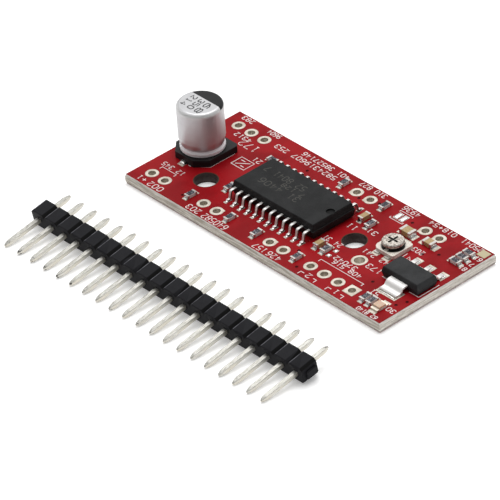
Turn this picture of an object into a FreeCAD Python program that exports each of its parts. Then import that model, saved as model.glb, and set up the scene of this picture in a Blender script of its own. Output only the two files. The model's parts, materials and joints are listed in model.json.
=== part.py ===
import FreeCAD, Part

import os
import re

import Sketcher

# Stepper driver module: a small printed circuit board with its fitted parts, and the loose
# twenty-pin header strip that is supplied with it.  Millimetres.  The origin is the centre of
# the board's underside, +X runs along the board's long edge and +Z points up, off the fitted side.

DIMENSIONS = {
    # board
    "board_length": 48.26, "board_width": 20.32, "board_thickness": 1.5,
    "score_run": 0.12, "score_angle": 17.0, "web_height": 0.64,
    "mask_thickness": 0.04, "mask_gap": 0.04,
    "pitch": 2.54, "row_half": 7.62, "mount_hole_radius": 1.6,
    # plated holes, lands and vias
    "hole_radius": 0.53, "barrel_wall": 0.04, "pad_radius": 0.9, "land_proud": 0.02,
    "test_hole_radius": 0.72, "test_pad_radius": 1.06,
    "via_radius": 0.2, "via_bore": 0.14,
    # electrolytic capacitor
    "can_radius": 3.15, "can_height": 7.8, "can_wall": 0.25, "can_shoulder": 0.5,
    "can_flare_radius": 3.05, "can_neck_radius": 2.84, "can_mouth_radius": 2.6,
    "can_waist": 0.75, "base_side": 6.7, "base_height": 1.0, "base_chamfer": 1.6,
    "base_back_chamfer": 0.35, "capacitor_land_length": 2.0, "capacitor_land_width": 1.0,
    "capacitor_land_middle": 3.15,
    "base_lead_width": 0.7, "base_lead_height": 0.28, "base_lead_reach": 3.65,
    "base_lead_inset": 1.1, "base_pin_radius": 0.3, "bung_height": 0.7, "winding_radius": 2.6,
    "winding_bottom": 1.1, "winding_headroom": 0.3,
    # driver chip
    "chip_length": 15.55, "chip_width": 7.45, "chip_stand_off": 0.15, "chip_parting": 1.3,
    "chip_height": 2.25, "chip_draft": 12.0, "chip_pitch": 1.27, "chip_lead_width": 0.42,
    "chip_lead_gauge": 0.25, "chip_knee": 4.5, "chip_ankle": 4.86, "chip_toe": 5.25,
    "chip_land_length": 1.75, "chip_land_width": 0.48, "chip_land_middle": 4.82,
    "chip_ledge": 0.12, "chip_round": 0.12, "chip_lead_root": 0.9,
    "chip_paddle_length": 6.4, "chip_paddle_width": 3.8, "chip_die_side": 3.0,
    "chip_die_height": 0.35, "chip_dimple_radius": 0.6, "chip_dimple_depth": 0.22,
    "chip_dimple_x": 6.88, "chip_dimple_y": 0.2,
    # regulator
    "regulator_length": 6.5, "regulator_width": 3.5, "regulator_height": 1.6,
    "regulator_parting": 0.8, "regulator_draft": 14.0, "regulator_gauge": 0.28,
    "regulator_pitch": 2.3, "regulator_pin_width": 0.72, "regulator_tab_width": 3.0,
    "regulator_knee": 2.05, "regulator_ankle": 2.75, "regulator_toe": 3.5,
    "tab_knee": 2.35, "tab_ankle": 3.0, "tab_toe": 3.82,
    "regulator_slug": 0.9, "regulator_pin_root": 1.25, "regulator_die_side": 1.6,
    "regulator_die_height": 0.2, "regulator_stand_off": 0.05, "regulator_round": 0.18,
    "tab_land_length": 3.4, "tab_land_width": 1.9, "tab_land_middle": 3.35,
    "pin_land_length": 1.2, "pin_land_width": 1.6, "pin_land_middle": 3.4,
    # trimmer
    "trimmer_length": 3.6, "trimmer_width": 3.7, "trimmer_height": 0.55, "trimmer_corner": 0.9,
    "trimmer_recess_radius": 1.62, "trimmer_recess": 0.15, "track_outer": 1.52,
    "track_inner": 0.85, "track_height": 0.1, "track_gap_width": 0.7, "track_gap_length": 1.2,
    "rotor_radius": 1.5, "rotor_height": 1.42,
    "rotor_rim": 0.34, "stem_radius": 0.45, "stem_clearance": 0.05, "stem_foot": 0.1,
    "slot_length": 1.7, "slot_width": 0.32, "slot_depth": 0.16, "rotor_round": 0.12,
    "wiper_radius": 1.25, "wiper_gauge": 0.12, "wiper_foot": 0.34, "wiper_gap": 0.02,
    "terminal_width": 0.8, "terminal_gauge": 0.16, "terminal_length": 0.95,
    "terminal_reach": 2.2, "terminal_half_spacing": 0.95, "terminal_land_middle": 2.05,
    "terminal_land_length": 1.0, "terminal_land_width": 1.1, "wiper_land_width": 1.3,
    # chip resistors and ceramic capacitors
    "resistor_length": 1.6, "resistor_width": 0.8, "resistor_height": 0.45,
    "resistor_cap": 0.26, "film_height": 0.03, "film_inset": 0.06,
    "small_ceramic_height": 0.6, "big_ceramic_length": 1.9, "big_ceramic_width": 1.25,
    "big_ceramic_height": 0.75, "big_ceramic_cap": 0.4, "mid_ceramic_length": 1.7,
    "mid_ceramic_width": 1.05, "mid_ceramic_height": 0.6,
    "cap_wrap": 0.02, "land_side": 0.76, "land_middle": 0.79, "big_land_side": 1.2,
    "big_land_middle": 1.12, "fillet_reach": 0.34, "fillet_rise": 0.28,
    # light-emitting diode
    "led_length": 2.0, "led_width": 1.25, "led_base_height": 0.26, "led_height": 0.52,
    "led_lens_length": 1.2, "led_contact": 0.34, "led_draft": 8.0,
    # bare lands
    "jumper_land_length": 0.75, "jumper_land_width": 1.4, "spare_land_side": 0.6,
    "corner_land_length": 1.4, "corner_land_width": 1.3,
    # header strip
    "header_depth": 2.54, "header_height": 2.54, "header_notch": 0.36, "header_pin": 0.64,
    "header_front": 7.25, "header_back": 4.35, "header_tip": 0.4, "header_taper": 21.0, "header_tilt": 9.66,
    "header_turn": 0.75, "header_axis_height": 1.4655, "header_x": -24.56, "header_y": -23.23,
    "stub_length": 0.3, "stub_height": 1.1, "stub_depth": 1.7, "stub_y": 0.1, "stub_z": -0.7,
}

# Centres on the board, x then y, for everything that isn't on the pin grid.
PLACES = {
    "mount_left": (-15.24, -3.81), "mount_right": (8.89, 0.0), "test_point": (12.5, -2.54),
    "capacitor": (-20.33, 0.25), "chip": (-2.54, 0.0), "regulator": (20.28, -1.27),
    "trimmer": (13.8, 2.15), "led": (21.6, -7.72),
    "jumper_a": (9.05, 7.6), "jumper_b": (10.05, 7.6),
    "spare_a": (8.85, -3.2), "spare_b": (8.85, -4.45),
    "corner_land": (23.0, 9.1),
    "row_resistor_a": (-13.97, -7.62), "row_resistor_b": (-6.35, -7.62),
    "row_resistor_c": (-1.27, -7.62), "row_resistor_d": (6.35, -7.62),
    "row_resistor_e": (-1.27, 7.75), "row_resistor_f": (6.35, 7.75),
    "stack_resistor_a": (21.7, 7.75), "stack_resistor_b": (21.7, 6.55), "stack_resistor_c": (21.7, 5.35),
    "sense_resistor_a": (7.95, 3.7), "sense_resistor_b": (7.83, -3.93),
    "lamp_resistor_a": (19.0, -7.62), "lamp_resistor_b": (20.15, -7.62),
    "bias_resistor": (-11.9, 4.95), "edge_resistor": (-11.5, -3.02),
    "small_ceramic_a": (6.3, 4.2), "small_ceramic_b": (6.45, -3.82),
    "big_ceramic": (12.87, 5.6), "mid_ceramic": (16.55, 5.82),
    "via_a": (-14.9, -8.2), "via_b": (-7.1, 6.6), "via_c": (7.7, -8.9), "via_d": (11.45, 7.75),
    "via_e": (17.35, 3.8), "via_f": (18.95, 5.15), "via_g": (17.05, -4.55), "via_h": (23.3, -4.6),
    "via_i": (22.75, -6.0), "via_j": (5.3, -6.3), "via_k": (5.25, 7.85), "via_m": (2.4, 6.9),
}

# Columns of the pin grid that have a plated hole, counted from the left, nearest row first.
FRONT_COLUMNS = (0, 1, 4, 5, 9, 10, 12, 13, 14)
BACK_COLUMNS = (0, 1, 2, 9, 10, 14, 15)
SQUARE_COLUMN = 15
MIDDLE_COLUMN = 8.5
CHIP_LEADS = 12
HEADER_PINS = 20

ALONG_X = 0
ALONG_Y = 90

# A cutting tool starts this far below the underside and is this tall, so that it passes right through.
BELOW = "-1"
THROUGH = "10"

# Two places closer than this count as one when edges are picked.
NEAR = 0.005

doc = FreeCAD.newDocument("StepperDriverModule")
sheet = doc.addObject("Spreadsheet::Sheet", "Sizes")
parts = []


def fill_sheet():
    """Puts every driving dimension and every centre in the sheet, each with its alias."""
    cells = dict(DIMENSIONS)
    for name, (x, y) in PLACES.items():
        cells[name + "_x"] = x
        cells[name + "_y"] = y
    for row, (alias, size) in enumerate(cells.items(), start=1):
        sheet.set(f"A{row}", alias)
        sheet.set(f"B{row}", str(size))
        sheet.setAlias(f"B{row}", alias)
    doc.recompute()
    return set(cells)


ALIASES = fill_sheet()


def bound(rule):
    """The text of an expression, with each alias in it pointed at the sheet."""
    def point(word):
        return "Sizes." + word.group() if word.group() in ALIASES else word.group()
    return re.sub(r"[a-z][a-z_]*", point, str(rule))


def number(rule):
    return float(sheet.evalExpression(bound(rule)))


def place(item, at=("0", "0", "0"), turn=0):
    """Binds an object's position to the sheet, and turns it about +Z."""
    item.Placement = FreeCAD.Placement(FreeCAD.Vector(), FreeCAD.Rotation(turn, 0, 0))
    for axis, rule in zip("xyz", at):
        item.setExpression("Placement.Base." + axis, bound(rule))
    return item


def box(name, size, at):
    """A block centred on at in X and Y, standing on at in Z."""
    block = doc.addObject("Part::Box", name)
    for side, rule in zip(("Length", "Width", "Height"), size):
        block.setExpression(side, bound(rule))
    return place(block, (f"({at[0]}) - ({size[0]}) / 2", f"({at[1]}) - ({size[1]}) / 2", at[2]))


def cylinder(name, radius, height, at=("0", "0", "0")):
    drum = doc.addObject("Part::Cylinder", name)
    drum.setExpression("Radius", bound(radius))
    drum.setExpression("Height", bound(height))
    return place(drum, at)


def cut(name, base, tools):
    hollow = doc.addObject("Part::Cut", name)
    hollow.Base = base
    hollow.Tool = tools[0] if len(tools) == 1 else group(name + "_tools", tools)
    return hollow


def fuse(name, shapes):
    joined = doc.addObject("Part::MultiFuse", name)
    joined.Shapes = shapes
    return joined


def group(name, items):
    together = doc.addObject("Part::Compound", name)
    together.Links = items
    return together


def copies(name, source, spots):
    """Links to one source, each at its own spot: x, y and z rules and a turn about +Z."""
    unit = group(name + "_unit", [source])
    links = []
    for count, (x, y, z, turn) in enumerate(spots):
        link = doc.addObject("App::Link", f"{name}_{count}")
        link.LinkedObject = unit
        links.append(place(link, (x, y, z), turn))
    return group(name, links)


def rounded(name, source, radius, wanted):
    """Fillets the edges of source whose middle and box satisfy wanted."""
    doc.recompute()
    soft = doc.addObject("Part::Fillet", name)
    soft.Base = source
    size = number(radius)
    edges = enumerate(source.Shape.Edges, start=1)
    soft.Edges = [(index, size, size) for index, edge in edges if wanted(edge.BoundBox)]
    return soft


def keep(item, label):
    """Names a finished sub-part.  Its label is its file's name."""
    item.Label = label
    parts.append(item)
    return item


def sketch_in(body, name, plane):
    """A sketch on one of the body's own origin planes."""
    sketch = body.newObject("Sketcher::SketchObject", name)
    sketch.AttachmentSupport = (
        next(item for item in body.Origin.OriginFeatures if item.Role == plane), [""]
    )
    sketch.MapMode = "FlatFace"
    return sketch


def bind_point(sketch, geometry, corner, rules):
    """Ties one point of the sketch to the origin by two distances from the sheet."""
    for kind, axis, rule in zip(("DistanceX", "DistanceY"), "xy", rules):
        name = f"{axis}{geometry}"
        sketch.addConstraint(Sketcher.Constraint(kind, -1, 1, geometry, corner, number(rule)))
        sketch.renameConstraint(sketch.ConstraintCount - 1, name)
        sketch.setExpression("Constraints." + name, bound(rule))


def draw_outline(sketch, points):
    """A closed outline of straight lines, with every corner bound to the sheet."""
    spots = [FreeCAD.Vector(number(x), number(y), 0) for x, y in points]
    first = sketch.GeometryCount
    for start, end in zip(spots, spots[1:] + spots[:1]):
        sketch.addGeometry(Part.LineSegment(start, end), False)
    for index, rules in enumerate(points):
        following = first + (index + 1) % len(points)
        sketch.addConstraint(Sketcher.Constraint("Coincident", first + index, 2, following, 1))
        bind_point(sketch, first + index, 1, rules)


def new_body(name, plane, points):
    """A PartDesign body with one outline drawn on one of its origin planes."""
    body = doc.addObject("PartDesign::Body", name)
    sketch = sketch_in(body, name + "_outline", plane)
    draw_outline(sketch, points)
    return body, sketch


def pad(body, sketch, name, length, midplane=False, downwards=False, draft=None):
    feature = body.newObject("PartDesign::Pad", name)
    feature.Profile = sketch
    feature.setExpression("Length", bound(length))
    if midplane:
        feature.SideType = "Symmetric"
    feature.Reversed = downwards
    if draft:
        feature.setExpression("TaperAngle", bound(draft))
    body.Tip = feature
    return feature


def centred_outline(length, width):
    x, y = f"({length}) / 2", f"({width}) / 2"
    return [(f"-{x}", f"-{y}"), (x, f"-{y}"), (x, y), (f"-{x}", y)]


def moulded_block(name, length, width, above, below, draft, ledge="0"):
    """A moulded package: drafted sides above and below its parting line, where the lower half
    is the wider one by the ledge on every side."""
    body = doc.addObject("PartDesign::Body", name)
    lower = sketch_in(body, name + "_lower_outline", "XY_Plane")
    draw_outline(lower, centred_outline(length, width))
    pad(body, lower, name + "_lower", below, downwards=True, draft=f"-{draft}")
    upper = sketch_in(body, name + "_upper_outline", "XY_Plane")
    draw_outline(upper, centred_outline(f"({length} - 2 * {ledge})", f"({width} - 2 * {ledge})"))
    pad(body, upper, name + "_upper", above, draft=f"-{draft}")
    return body


def bent_lead(name, root, knee, ankle, toe, exit_height, gauge, width):
    """A gull-wing lead in the YZ plane: out of the package, down, and along the land.
    exit_height is the middle of the metal where it leaves, above the foot's underside."""
    low, high = f"{exit_height} - {gauge} / 2", f"{exit_height} + {gauge} / 2"
    body, sketch = new_body(name, "YZ_Plane", [
        (root, low), (f"{knee} - {gauge} * 0.6", low), (f"{ankle} - {gauge} * 0.9", "0"), (toe, "0"),
        (toe, gauge), (f"{ankle}", gauge), (f"{knee} + {gauge} * 0.3", high), (root, high),
    ])
    pad(body, sketch, name + "_strip", width, midplane=True)
    across, metal = number(width), number(gauge)
    first, last = number(knee) - metal, number(ankle) + metal / 2

    def is_bend(limits):
        return abs(limits.XLength - across) < NEAR and first < limits.YMin < last

    return rounded(name + "_bent", body, f"{gauge} * 0.45", is_bend)


def turned(name, points):
    """A body of revolution about Z from a half outline in the XZ plane."""
    body, sketch = new_body(name, "XZ_Plane", points)
    feature = body.newObject("PartDesign::Revolution", name + "_turned")
    feature.Profile = sketch
    feature.ReferenceAxis = (sketch, ["V_Axis"])
    feature.Angle = 360
    body.Tip = feature
    return body


def column_x(column):
    return f"({column} - {MIDDLE_COLUMN}) * pitch"


def centre(name, z="0", turn=ALONG_X):
    return (name + "_x", name + "_y", z, turn)


HEADER_HOLES = [(column_x(column), "-row_half") for column in FRONT_COLUMNS]
HEADER_HOLES += [(column_x(column), "row_half") for column in BACK_COLUMNS]
SQUARE_HOLE = (column_x(SQUARE_COLUMN), "-row_half")
VIAS = [name for name in PLACES if name.startswith("via_")]
MOUNT_HOLES = ("mount_left", "mount_right")

LAND_TOP = "board_thickness + land_proud"
LAND_HEIGHT = "mask_thickness + land_proud"
CORE_TOP = "board_thickness - mask_thickness"

# Chip-sized parts by group, each with the way its length runs.
ROW_RESISTORS = [(f"row_resistor_{letter}", ALONG_Y) for letter in "abcdef"]
STACK_RESISTORS = [(f"stack_resistor_{letter}", ALONG_X) for letter in "abc"]
SIDE_RESISTORS = [(f"{kind}_resistor_{letter}", ALONG_Y) for kind in ("sense", "lamp") for letter in "ab"]
SIDE_RESISTORS += [("bias_resistor", ALONG_X), ("edge_resistor", ALONG_Y)]
SMALL_CERAMICS = [(f"small_ceramic_{letter}", ALONG_Y) for letter in "ab"]
SMALL_PARTS = ROW_RESISTORS + STACK_RESISTORS + SIDE_RESISTORS + SMALL_CERAMICS
BIG_PARTS = [("big_ceramic", ALONG_X), ("mid_ceramic", ALONG_X), ("led", ALONG_Y)]


def spots_of(group_of_parts, z):
    return [centre(name, z, turn) for name, turn in group_of_parts]


def end_spots(group_of_parts, middle, z):
    """Where the two ends of each part lie, the far one turned half round."""
    spots = []
    for name, turn in group_of_parts:
        for side, half_turn in ((1, 0), (-1, 180)):
            x = f"{name}_x + {side} * ({middle})" if turn == ALONG_X else f"{name}_x"
            y = f"{name}_y + {side} * ({middle})" if turn == ALONG_Y else f"{name}_y"
            spots.append((x, y, z, turn + half_turn))
    return spots


def chip_spots(distance, z):
    """The chip's twenty-four lead positions, front row then back row."""
    rows = []
    for side, turn in ((-1, 180), (1, 0)):
        row = []
        for index in range(CHIP_LEADS):
            x = f"chip_x + ({index} - {(CHIP_LEADS - 1) / 2}) * chip_pitch"
            row.append((x, f"chip_y + {side} * ({distance})", z, turn))
        rows.append(row)
    return rows


# Every rectangular land on the fitted side: its centre, then its length and width.
def all_lands():
    lands = []
    for x, y, _, turn in end_spots(SMALL_PARTS, "land_middle", "0"):
        lands.append(("small", x, y, "land_side", "land_side"))
    for x, y, _, turn in end_spots(BIG_PARTS, "big_land_middle", "0"):
        across = turn % 180 == ALONG_Y
        size = ("big_land_side", "land_side") if across else ("land_side", "big_land_side")
        lands.append(("big", x, y, *size))
    for row in chip_spots("chip_land_middle", "0"):
        lands += [("chip", x, y, "chip_land_width", "chip_land_length") for x, y, _, _ in row]
    tab_y = "regulator_y - tab_land_middle"
    lands.append(("regulator", "regulator_x", tab_y, "tab_land_length", "tab_land_width"))
    for side in (-1, 0, 1):
        x = f"regulator_x + {side} * regulator_pitch"
        lands.append(("regulator", x, "regulator_y + pin_land_middle", "pin_land_length", "pin_land_width"))
    for side in (-1, 1):
        x = f"trimmer_x + {side} * terminal_half_spacing"
        y = "trimmer_y - terminal_land_middle"
        lands.append(("trimmer", x, y, "terminal_land_width", "terminal_land_length"))
        y = f"capacitor_y + {side} * capacitor_land_middle"
        lands.append(("capacitor", "capacitor_x", y, "capacitor_land_width", "capacitor_land_length"))
    y = "trimmer_y + terminal_land_middle"
    lands.append(("trimmer", "trimmer_x", y, "wiper_land_width", "terminal_land_length"))
    for name in ("jumper_a", "jumper_b"):
        lands.append(("jumper", name + "_x", name + "_y", "jumper_land_length", "jumper_land_width"))
    for name in ("spare_a", "spare_b"):
        lands.append(("spare", name + "_x", name + "_y", "spare_land_side", "spare_land_side"))
    corner = ("corner_land_x", "corner_land_y", "corner_land_length", "corner_land_width")
    lands.append(("spare", *corner))
    return lands


LANDS = all_lands()


def scored_blank():
    """The laminate, snapped from its panel along V-shaped scores: a web between two slopes."""
    length, width = "board_length", "board_width"
    middle = "board_thickness / 2"
    slope_height = "(board_thickness / 2 - mask_thickness - web_height / 2)"
    web_at = ("0", "0", f"{middle} - web_height / 2")
    shapes = [box("core_web", (length, width, "web_height"), web_at)]
    for name, side, downwards in (("upper", 1, False), ("lower", -1, True)):
        body, sketch = new_body(f"core_{name}", "XY_Plane", centred_outline(length, width))
        pad(body, sketch, f"core_{name}_slope", slope_height, downwards=downwards, draft="-score_angle")
        shapes.append(place(body, ("0", "0", f"{middle} + {side} * web_height / 2")))
    return fuse("core_blank", shapes)


def make_board():
    blank = scored_blank()
    drills = []
    for index, (x, y) in enumerate(HEADER_HOLES + [SQUARE_HOLE]):
        name = f"core_drill_{index}"
        drills.append(cylinder(name, "hole_radius + barrel_wall", THROUGH, (x, y, BELOW)))
    for name in MOUNT_HOLES:
        drills.append(cylinder("core_" + name, "mount_hole_radius", THROUGH, centre(name, BELOW)[:3]))
    test_spot = centre("test_point", BELOW)[:3]
    drills.append(cylinder("core_test", "test_hole_radius + barrel_wall", THROUGH, test_spot))
    for name in VIAS:
        drills.append(cylinder("core_" + name, "via_radius", THROUGH, centre(name, BELOW)[:3]))
    keep(cut("core", blank, drills), "board_core")

    inner_length, inner_width = "board_length - 2 * score_run", "board_width - 2 * score_run"
    for side, z in (("top", CORE_TOP), ("bottom", "0")):
        sheet_of_mask = box(f"{side}_sheet", (inner_length, inner_width, "mask_thickness"), ("0", "0", z))
        windows = []
        for index, (x, y) in enumerate(HEADER_HOLES):
            name = f"{side}_window_{index}"
            windows.append(cylinder(name, "pad_radius + mask_gap", THROUGH, (x, y, BELOW)))
        square_side = "2 * (pad_radius + mask_gap)"
        square_at = (SQUARE_HOLE[0], SQUARE_HOLE[1], BELOW)
        windows.append(box(f"{side}_square", (square_side, square_side, THROUGH), square_at))
        for name in MOUNT_HOLES:
            at = centre(name, BELOW)[:3]
            windows.append(cylinder(f"{side}_{name}", "mount_hole_radius + mask_gap", THROUGH, at))
        windows.append(cylinder(f"{side}_test", "test_pad_radius + mask_gap", THROUGH, test_spot))
        for name in VIAS:
            windows.append(cylinder(f"{side}_{name}", "via_radius", THROUGH, centre(name, BELOW)[:3]))
        if side == "top":
            for index, (_, x, y, long, wide) in enumerate(LANDS):
                size = (f"{long} + 2 * mask_gap", f"{wide} + 2 * mask_gap", THROUGH)
                windows.append(box(f"top_opening_{index}", size, (x, y, BELOW)))
        keep(cut(f"{side}_mask", sheet_of_mask, windows), f"solder_mask_{side}")


def plated_hole(name, bore, pad_outline):
    """A plated hole: its barrel and the two pads that it joins, drilled through."""
    barrel = cylinder(name + "_barrel", f"{bore} + barrel_wall", LAND_TOP)
    drill = cylinder(name + "_drill", bore, THROUGH, ("0", "0", BELOW))
    lower = pad_outline(name + "_lower", "mask_thickness", "0")
    upper = pad_outline(name + "_upper", LAND_HEIGHT, CORE_TOP)
    return cut(name, fuse(name + "_rivet", [barrel, lower, upper]), [drill])


def make_plated_holes():
    def round_pad(name, height, z):
        return cylinder(name, "pad_radius", height, ("0", "0", z))

    def square_pad(name, height, z):
        return box(name, ("2 * pad_radius", "2 * pad_radius", height), ("0", "0", z))

    def test_pad(name, height, z):
        return cylinder(name, "test_pad_radius", height, ("0", "0", z))

    one = plated_hole("round_hole", "hole_radius", round_pad)
    spots = [(x, y, "0", 0) for x, y in HEADER_HOLES]
    keep(copies("round_holes", one, spots), "barrels_header_holes")
    square = plated_hole("square_hole", "hole_radius", square_pad)
    keep(copies("square_holes", square, [(*SQUARE_HOLE, "0", 0)]), "barrel_square_pad")
    test = plated_hole("test_hole", "test_hole_radius", test_pad)
    keep(copies("test_holes", test, [centre("test_point")]), "barrel_test_point")
    tube = cylinder("via_tube", "via_radius", CORE_TOP + " - mask_thickness", ("0", "0", "mask_thickness"))
    drill = cylinder("via_drill", "via_bore", THROUGH, ("0", "0", BELOW))
    via = cut("via", tube, [drill])
    keep(copies("vias", via, [centre(name) for name in VIAS]), "via_barrels")


def make_lands():
    labels = {
        "small": "lands_small_parts", "big": "lands_large_ceramics", "chip": "lands_driver_chip",
        "regulator": "lands_regulator", "trimmer": "lands_trimmer", "capacitor": "lands_capacitor",
        "jumper": "solder_jumper_lands", "spare": "lands_spare",
    }
    for kind, label in labels.items():
        blocks = []
        for index, (owner, x, y, long, wide) in enumerate(LANDS):
            if owner == kind:
                blocks.append(box(f"land_{index}", (long, wide, LAND_HEIGHT), (x, y, CORE_TOP)))
        keep(group(label + "_group", blocks), label)


def make_capacitor():
    floor = LAND_TOP
    at = ("capacitor_x", "capacitor_y")
    leads = []
    for side in (-1, 1):
        name = "front" if side < 0 else "back"
        reach = "base_lead_reach - base_lead_inset + base_pin_radius"
        middle = f"{at[1]} + {side} * (base_lead_reach + base_lead_inset - base_pin_radius) / 2"
        foot = box(f"{name}_foot", ("base_lead_width", reach, "base_lead_height"), (at[0], middle, floor))
        spot = (at[0], f"{at[1]} + {side} * base_lead_inset", f"{floor} + base_lead_height / 2")
        pin = cylinder(f"{name}_pin", "base_pin_radius", "base_height + winding_bottom + bung_height", spot)
        leads.append(fuse(f"{name}_lead", [foot, pin]))
    pair = keep(group("capacitor_lead_pair", leads), "capacitor_leads")

    half = "base_side / 2"
    corner = f"({half} - base_chamfer)"
    back = f"({half} - base_back_chamfer)"
    body, sketch = new_body("base_block", "XY_Plane", [
        (f"-{corner}", f"-{half}"), (corner, f"-{half}"), (half, f"-{corner}"), (half, back),
        (back, half), (f"-{back}", half), (f"-{half}", back), (f"-{half}", f"-{corner}"),
    ])
    pad(body, sketch, "base_plate", "base_height")
    place(body, (*at, floor))
    keep(cut("base_slotted", body, [pair]), "capacitor_base")

    neck = "base_height + can_waist"
    can = turned("can_shell", [
        ("0", "can_height - can_wall"), ("can_radius - can_wall", "can_height - can_wall"),
        ("can_radius - can_wall", f"{neck} + 1.2"), ("can_mouth_radius", f"{neck}"),
        ("can_mouth_radius", "base_height"), ("can_flare_radius - 0.12", "base_height"),
        ("can_flare_radius", "base_height + 0.12"), ("can_flare_radius", f"{neck} - 0.25"),
        ("can_neck_radius", neck), ("can_radius - 0.12", f"{neck} + 0.45"),
        ("can_radius", f"{neck} + 1.1"), ("can_radius", "can_height"), ("0", "can_height"),
    ])
    place(can, (*at, floor))
    rim_z = number(f"{floor} + can_height") - NEAR
    soft_can = rounded("can_soft", can, "can_shoulder", lambda limits: limits.ZMin > rim_z)
    keep(soft_can, "capacitor_can")

    bung_z = f"{floor} + base_height"
    bung = cylinder("bung_blank", "can_mouth_radius", "bung_height", (*at, bung_z))
    keep(cut("bung", bung, [pair]), "capacitor_seal")
    winding_z = f"{bung_z} + winding_bottom"
    winding_height = "can_height - can_wall - base_height - winding_bottom - winding_headroom"
    roll = cylinder("winding_blank", "winding_radius", winding_height, (*at, winding_z))
    keep(cut("winding", roll, [pair]), "capacitor_winding")


def make_driver_chip():
    floor = LAND_TOP
    lead = bent_lead(
        "chip_lead", "chip_width / 2 - chip_lead_root", "chip_knee", "chip_ankle", "chip_toe",
        "chip_parting", "chip_lead_gauge", "chip_lead_width",
    )
    front, back = chip_spots("0", floor)
    front_leads = keep(copies("front_leads", lead, front), "driver_chip_leads_front")
    back_leads = keep(copies("back_leads", lead, back), "driver_chip_leads_back")

    at = ("chip_x", "chip_y")
    paddle_z = f"{floor} + chip_parting - chip_lead_gauge / 2"
    paddle_size = ("chip_paddle_length", "chip_paddle_width", "chip_lead_gauge")
    paddle = keep(box("chip_paddle", paddle_size, (*at, paddle_z)), "driver_chip_paddle")
    die_z = f"{paddle_z} + chip_lead_gauge"
    die_size = ("chip_die_side", "chip_die_side", "chip_die_height")
    die = keep(box("chip_die", die_size, (*at, die_z)), "driver_chip_die")

    block = moulded_block(
        "chip_block", "chip_length", "chip_width", "chip_height - chip_parting",
        "chip_parting - chip_stand_off", "chip_draft", "chip_ledge",
    )
    place(block, (*at, f"{floor} + chip_parting"))
    top = number(f"{floor} + chip_height")
    soft = rounded("chip_soft", block, "chip_round", lambda limits: limits.ZMin > top - NEAR)
    dimple_z = f"{floor} + chip_height - chip_dimple_depth"
    dimple_at = ("chip_x + chip_dimple_x", "chip_y + chip_dimple_y", dimple_z)
    dimple = cylinder("chip_dimple", "chip_dimple_radius", THROUGH, dimple_at)
    tools = [front_leads, back_leads, paddle, die, dimple]
    keep(cut("chip_moulding", soft, tools), "driver_chip_body")


def make_regulator():
    floor = LAND_TOP
    at = ("regulator_x", "regulator_y")
    metal = ("regulator_parting", "regulator_gauge")
    tab_bends = ("tab_knee", "tab_ankle", "tab_toe", *metal)
    tab = bent_lead("regulator_tab_metal", "-regulator_slug", *tab_bends, "regulator_tab_width")
    tab_node = keep(copies("regulator_tabs", tab, [(*at, floor, 180)]), "regulator_tab")
    pin_bends = ("regulator_knee", "regulator_ankle", "regulator_toe", *metal)
    pin = bent_lead("regulator_pin_metal", "regulator_pin_root", *pin_bends, "regulator_pin_width")
    spots = [(f"{at[0]} + {side} * regulator_pitch", at[1], floor, 0) for side in (-1, 0, 1)]
    pins = keep(copies("regulator_pin_row", pin, spots), "regulator_pins")
    die_z = f"{floor} + regulator_parting + regulator_gauge / 2"
    die_size = ("regulator_die_side", "regulator_die_side", "regulator_die_height")
    die = keep(box("regulator_die_block", die_size, (*at, die_z)), "regulator_die")
    block = moulded_block(
        "regulator_block", "regulator_length", "regulator_width",
        "regulator_height - regulator_parting", "regulator_parting - regulator_stand_off", "regulator_draft",
    )
    place(block, (*at, f"{floor} + regulator_parting"))
    top = number(f"{floor} + regulator_height")
    soft = rounded("regulator_soft", block, "regulator_round", lambda limits: limits.ZMin > top - NEAR)
    keep(cut("regulator_moulding", soft, [tab_node, pins, die]), "regulator_body")


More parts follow.
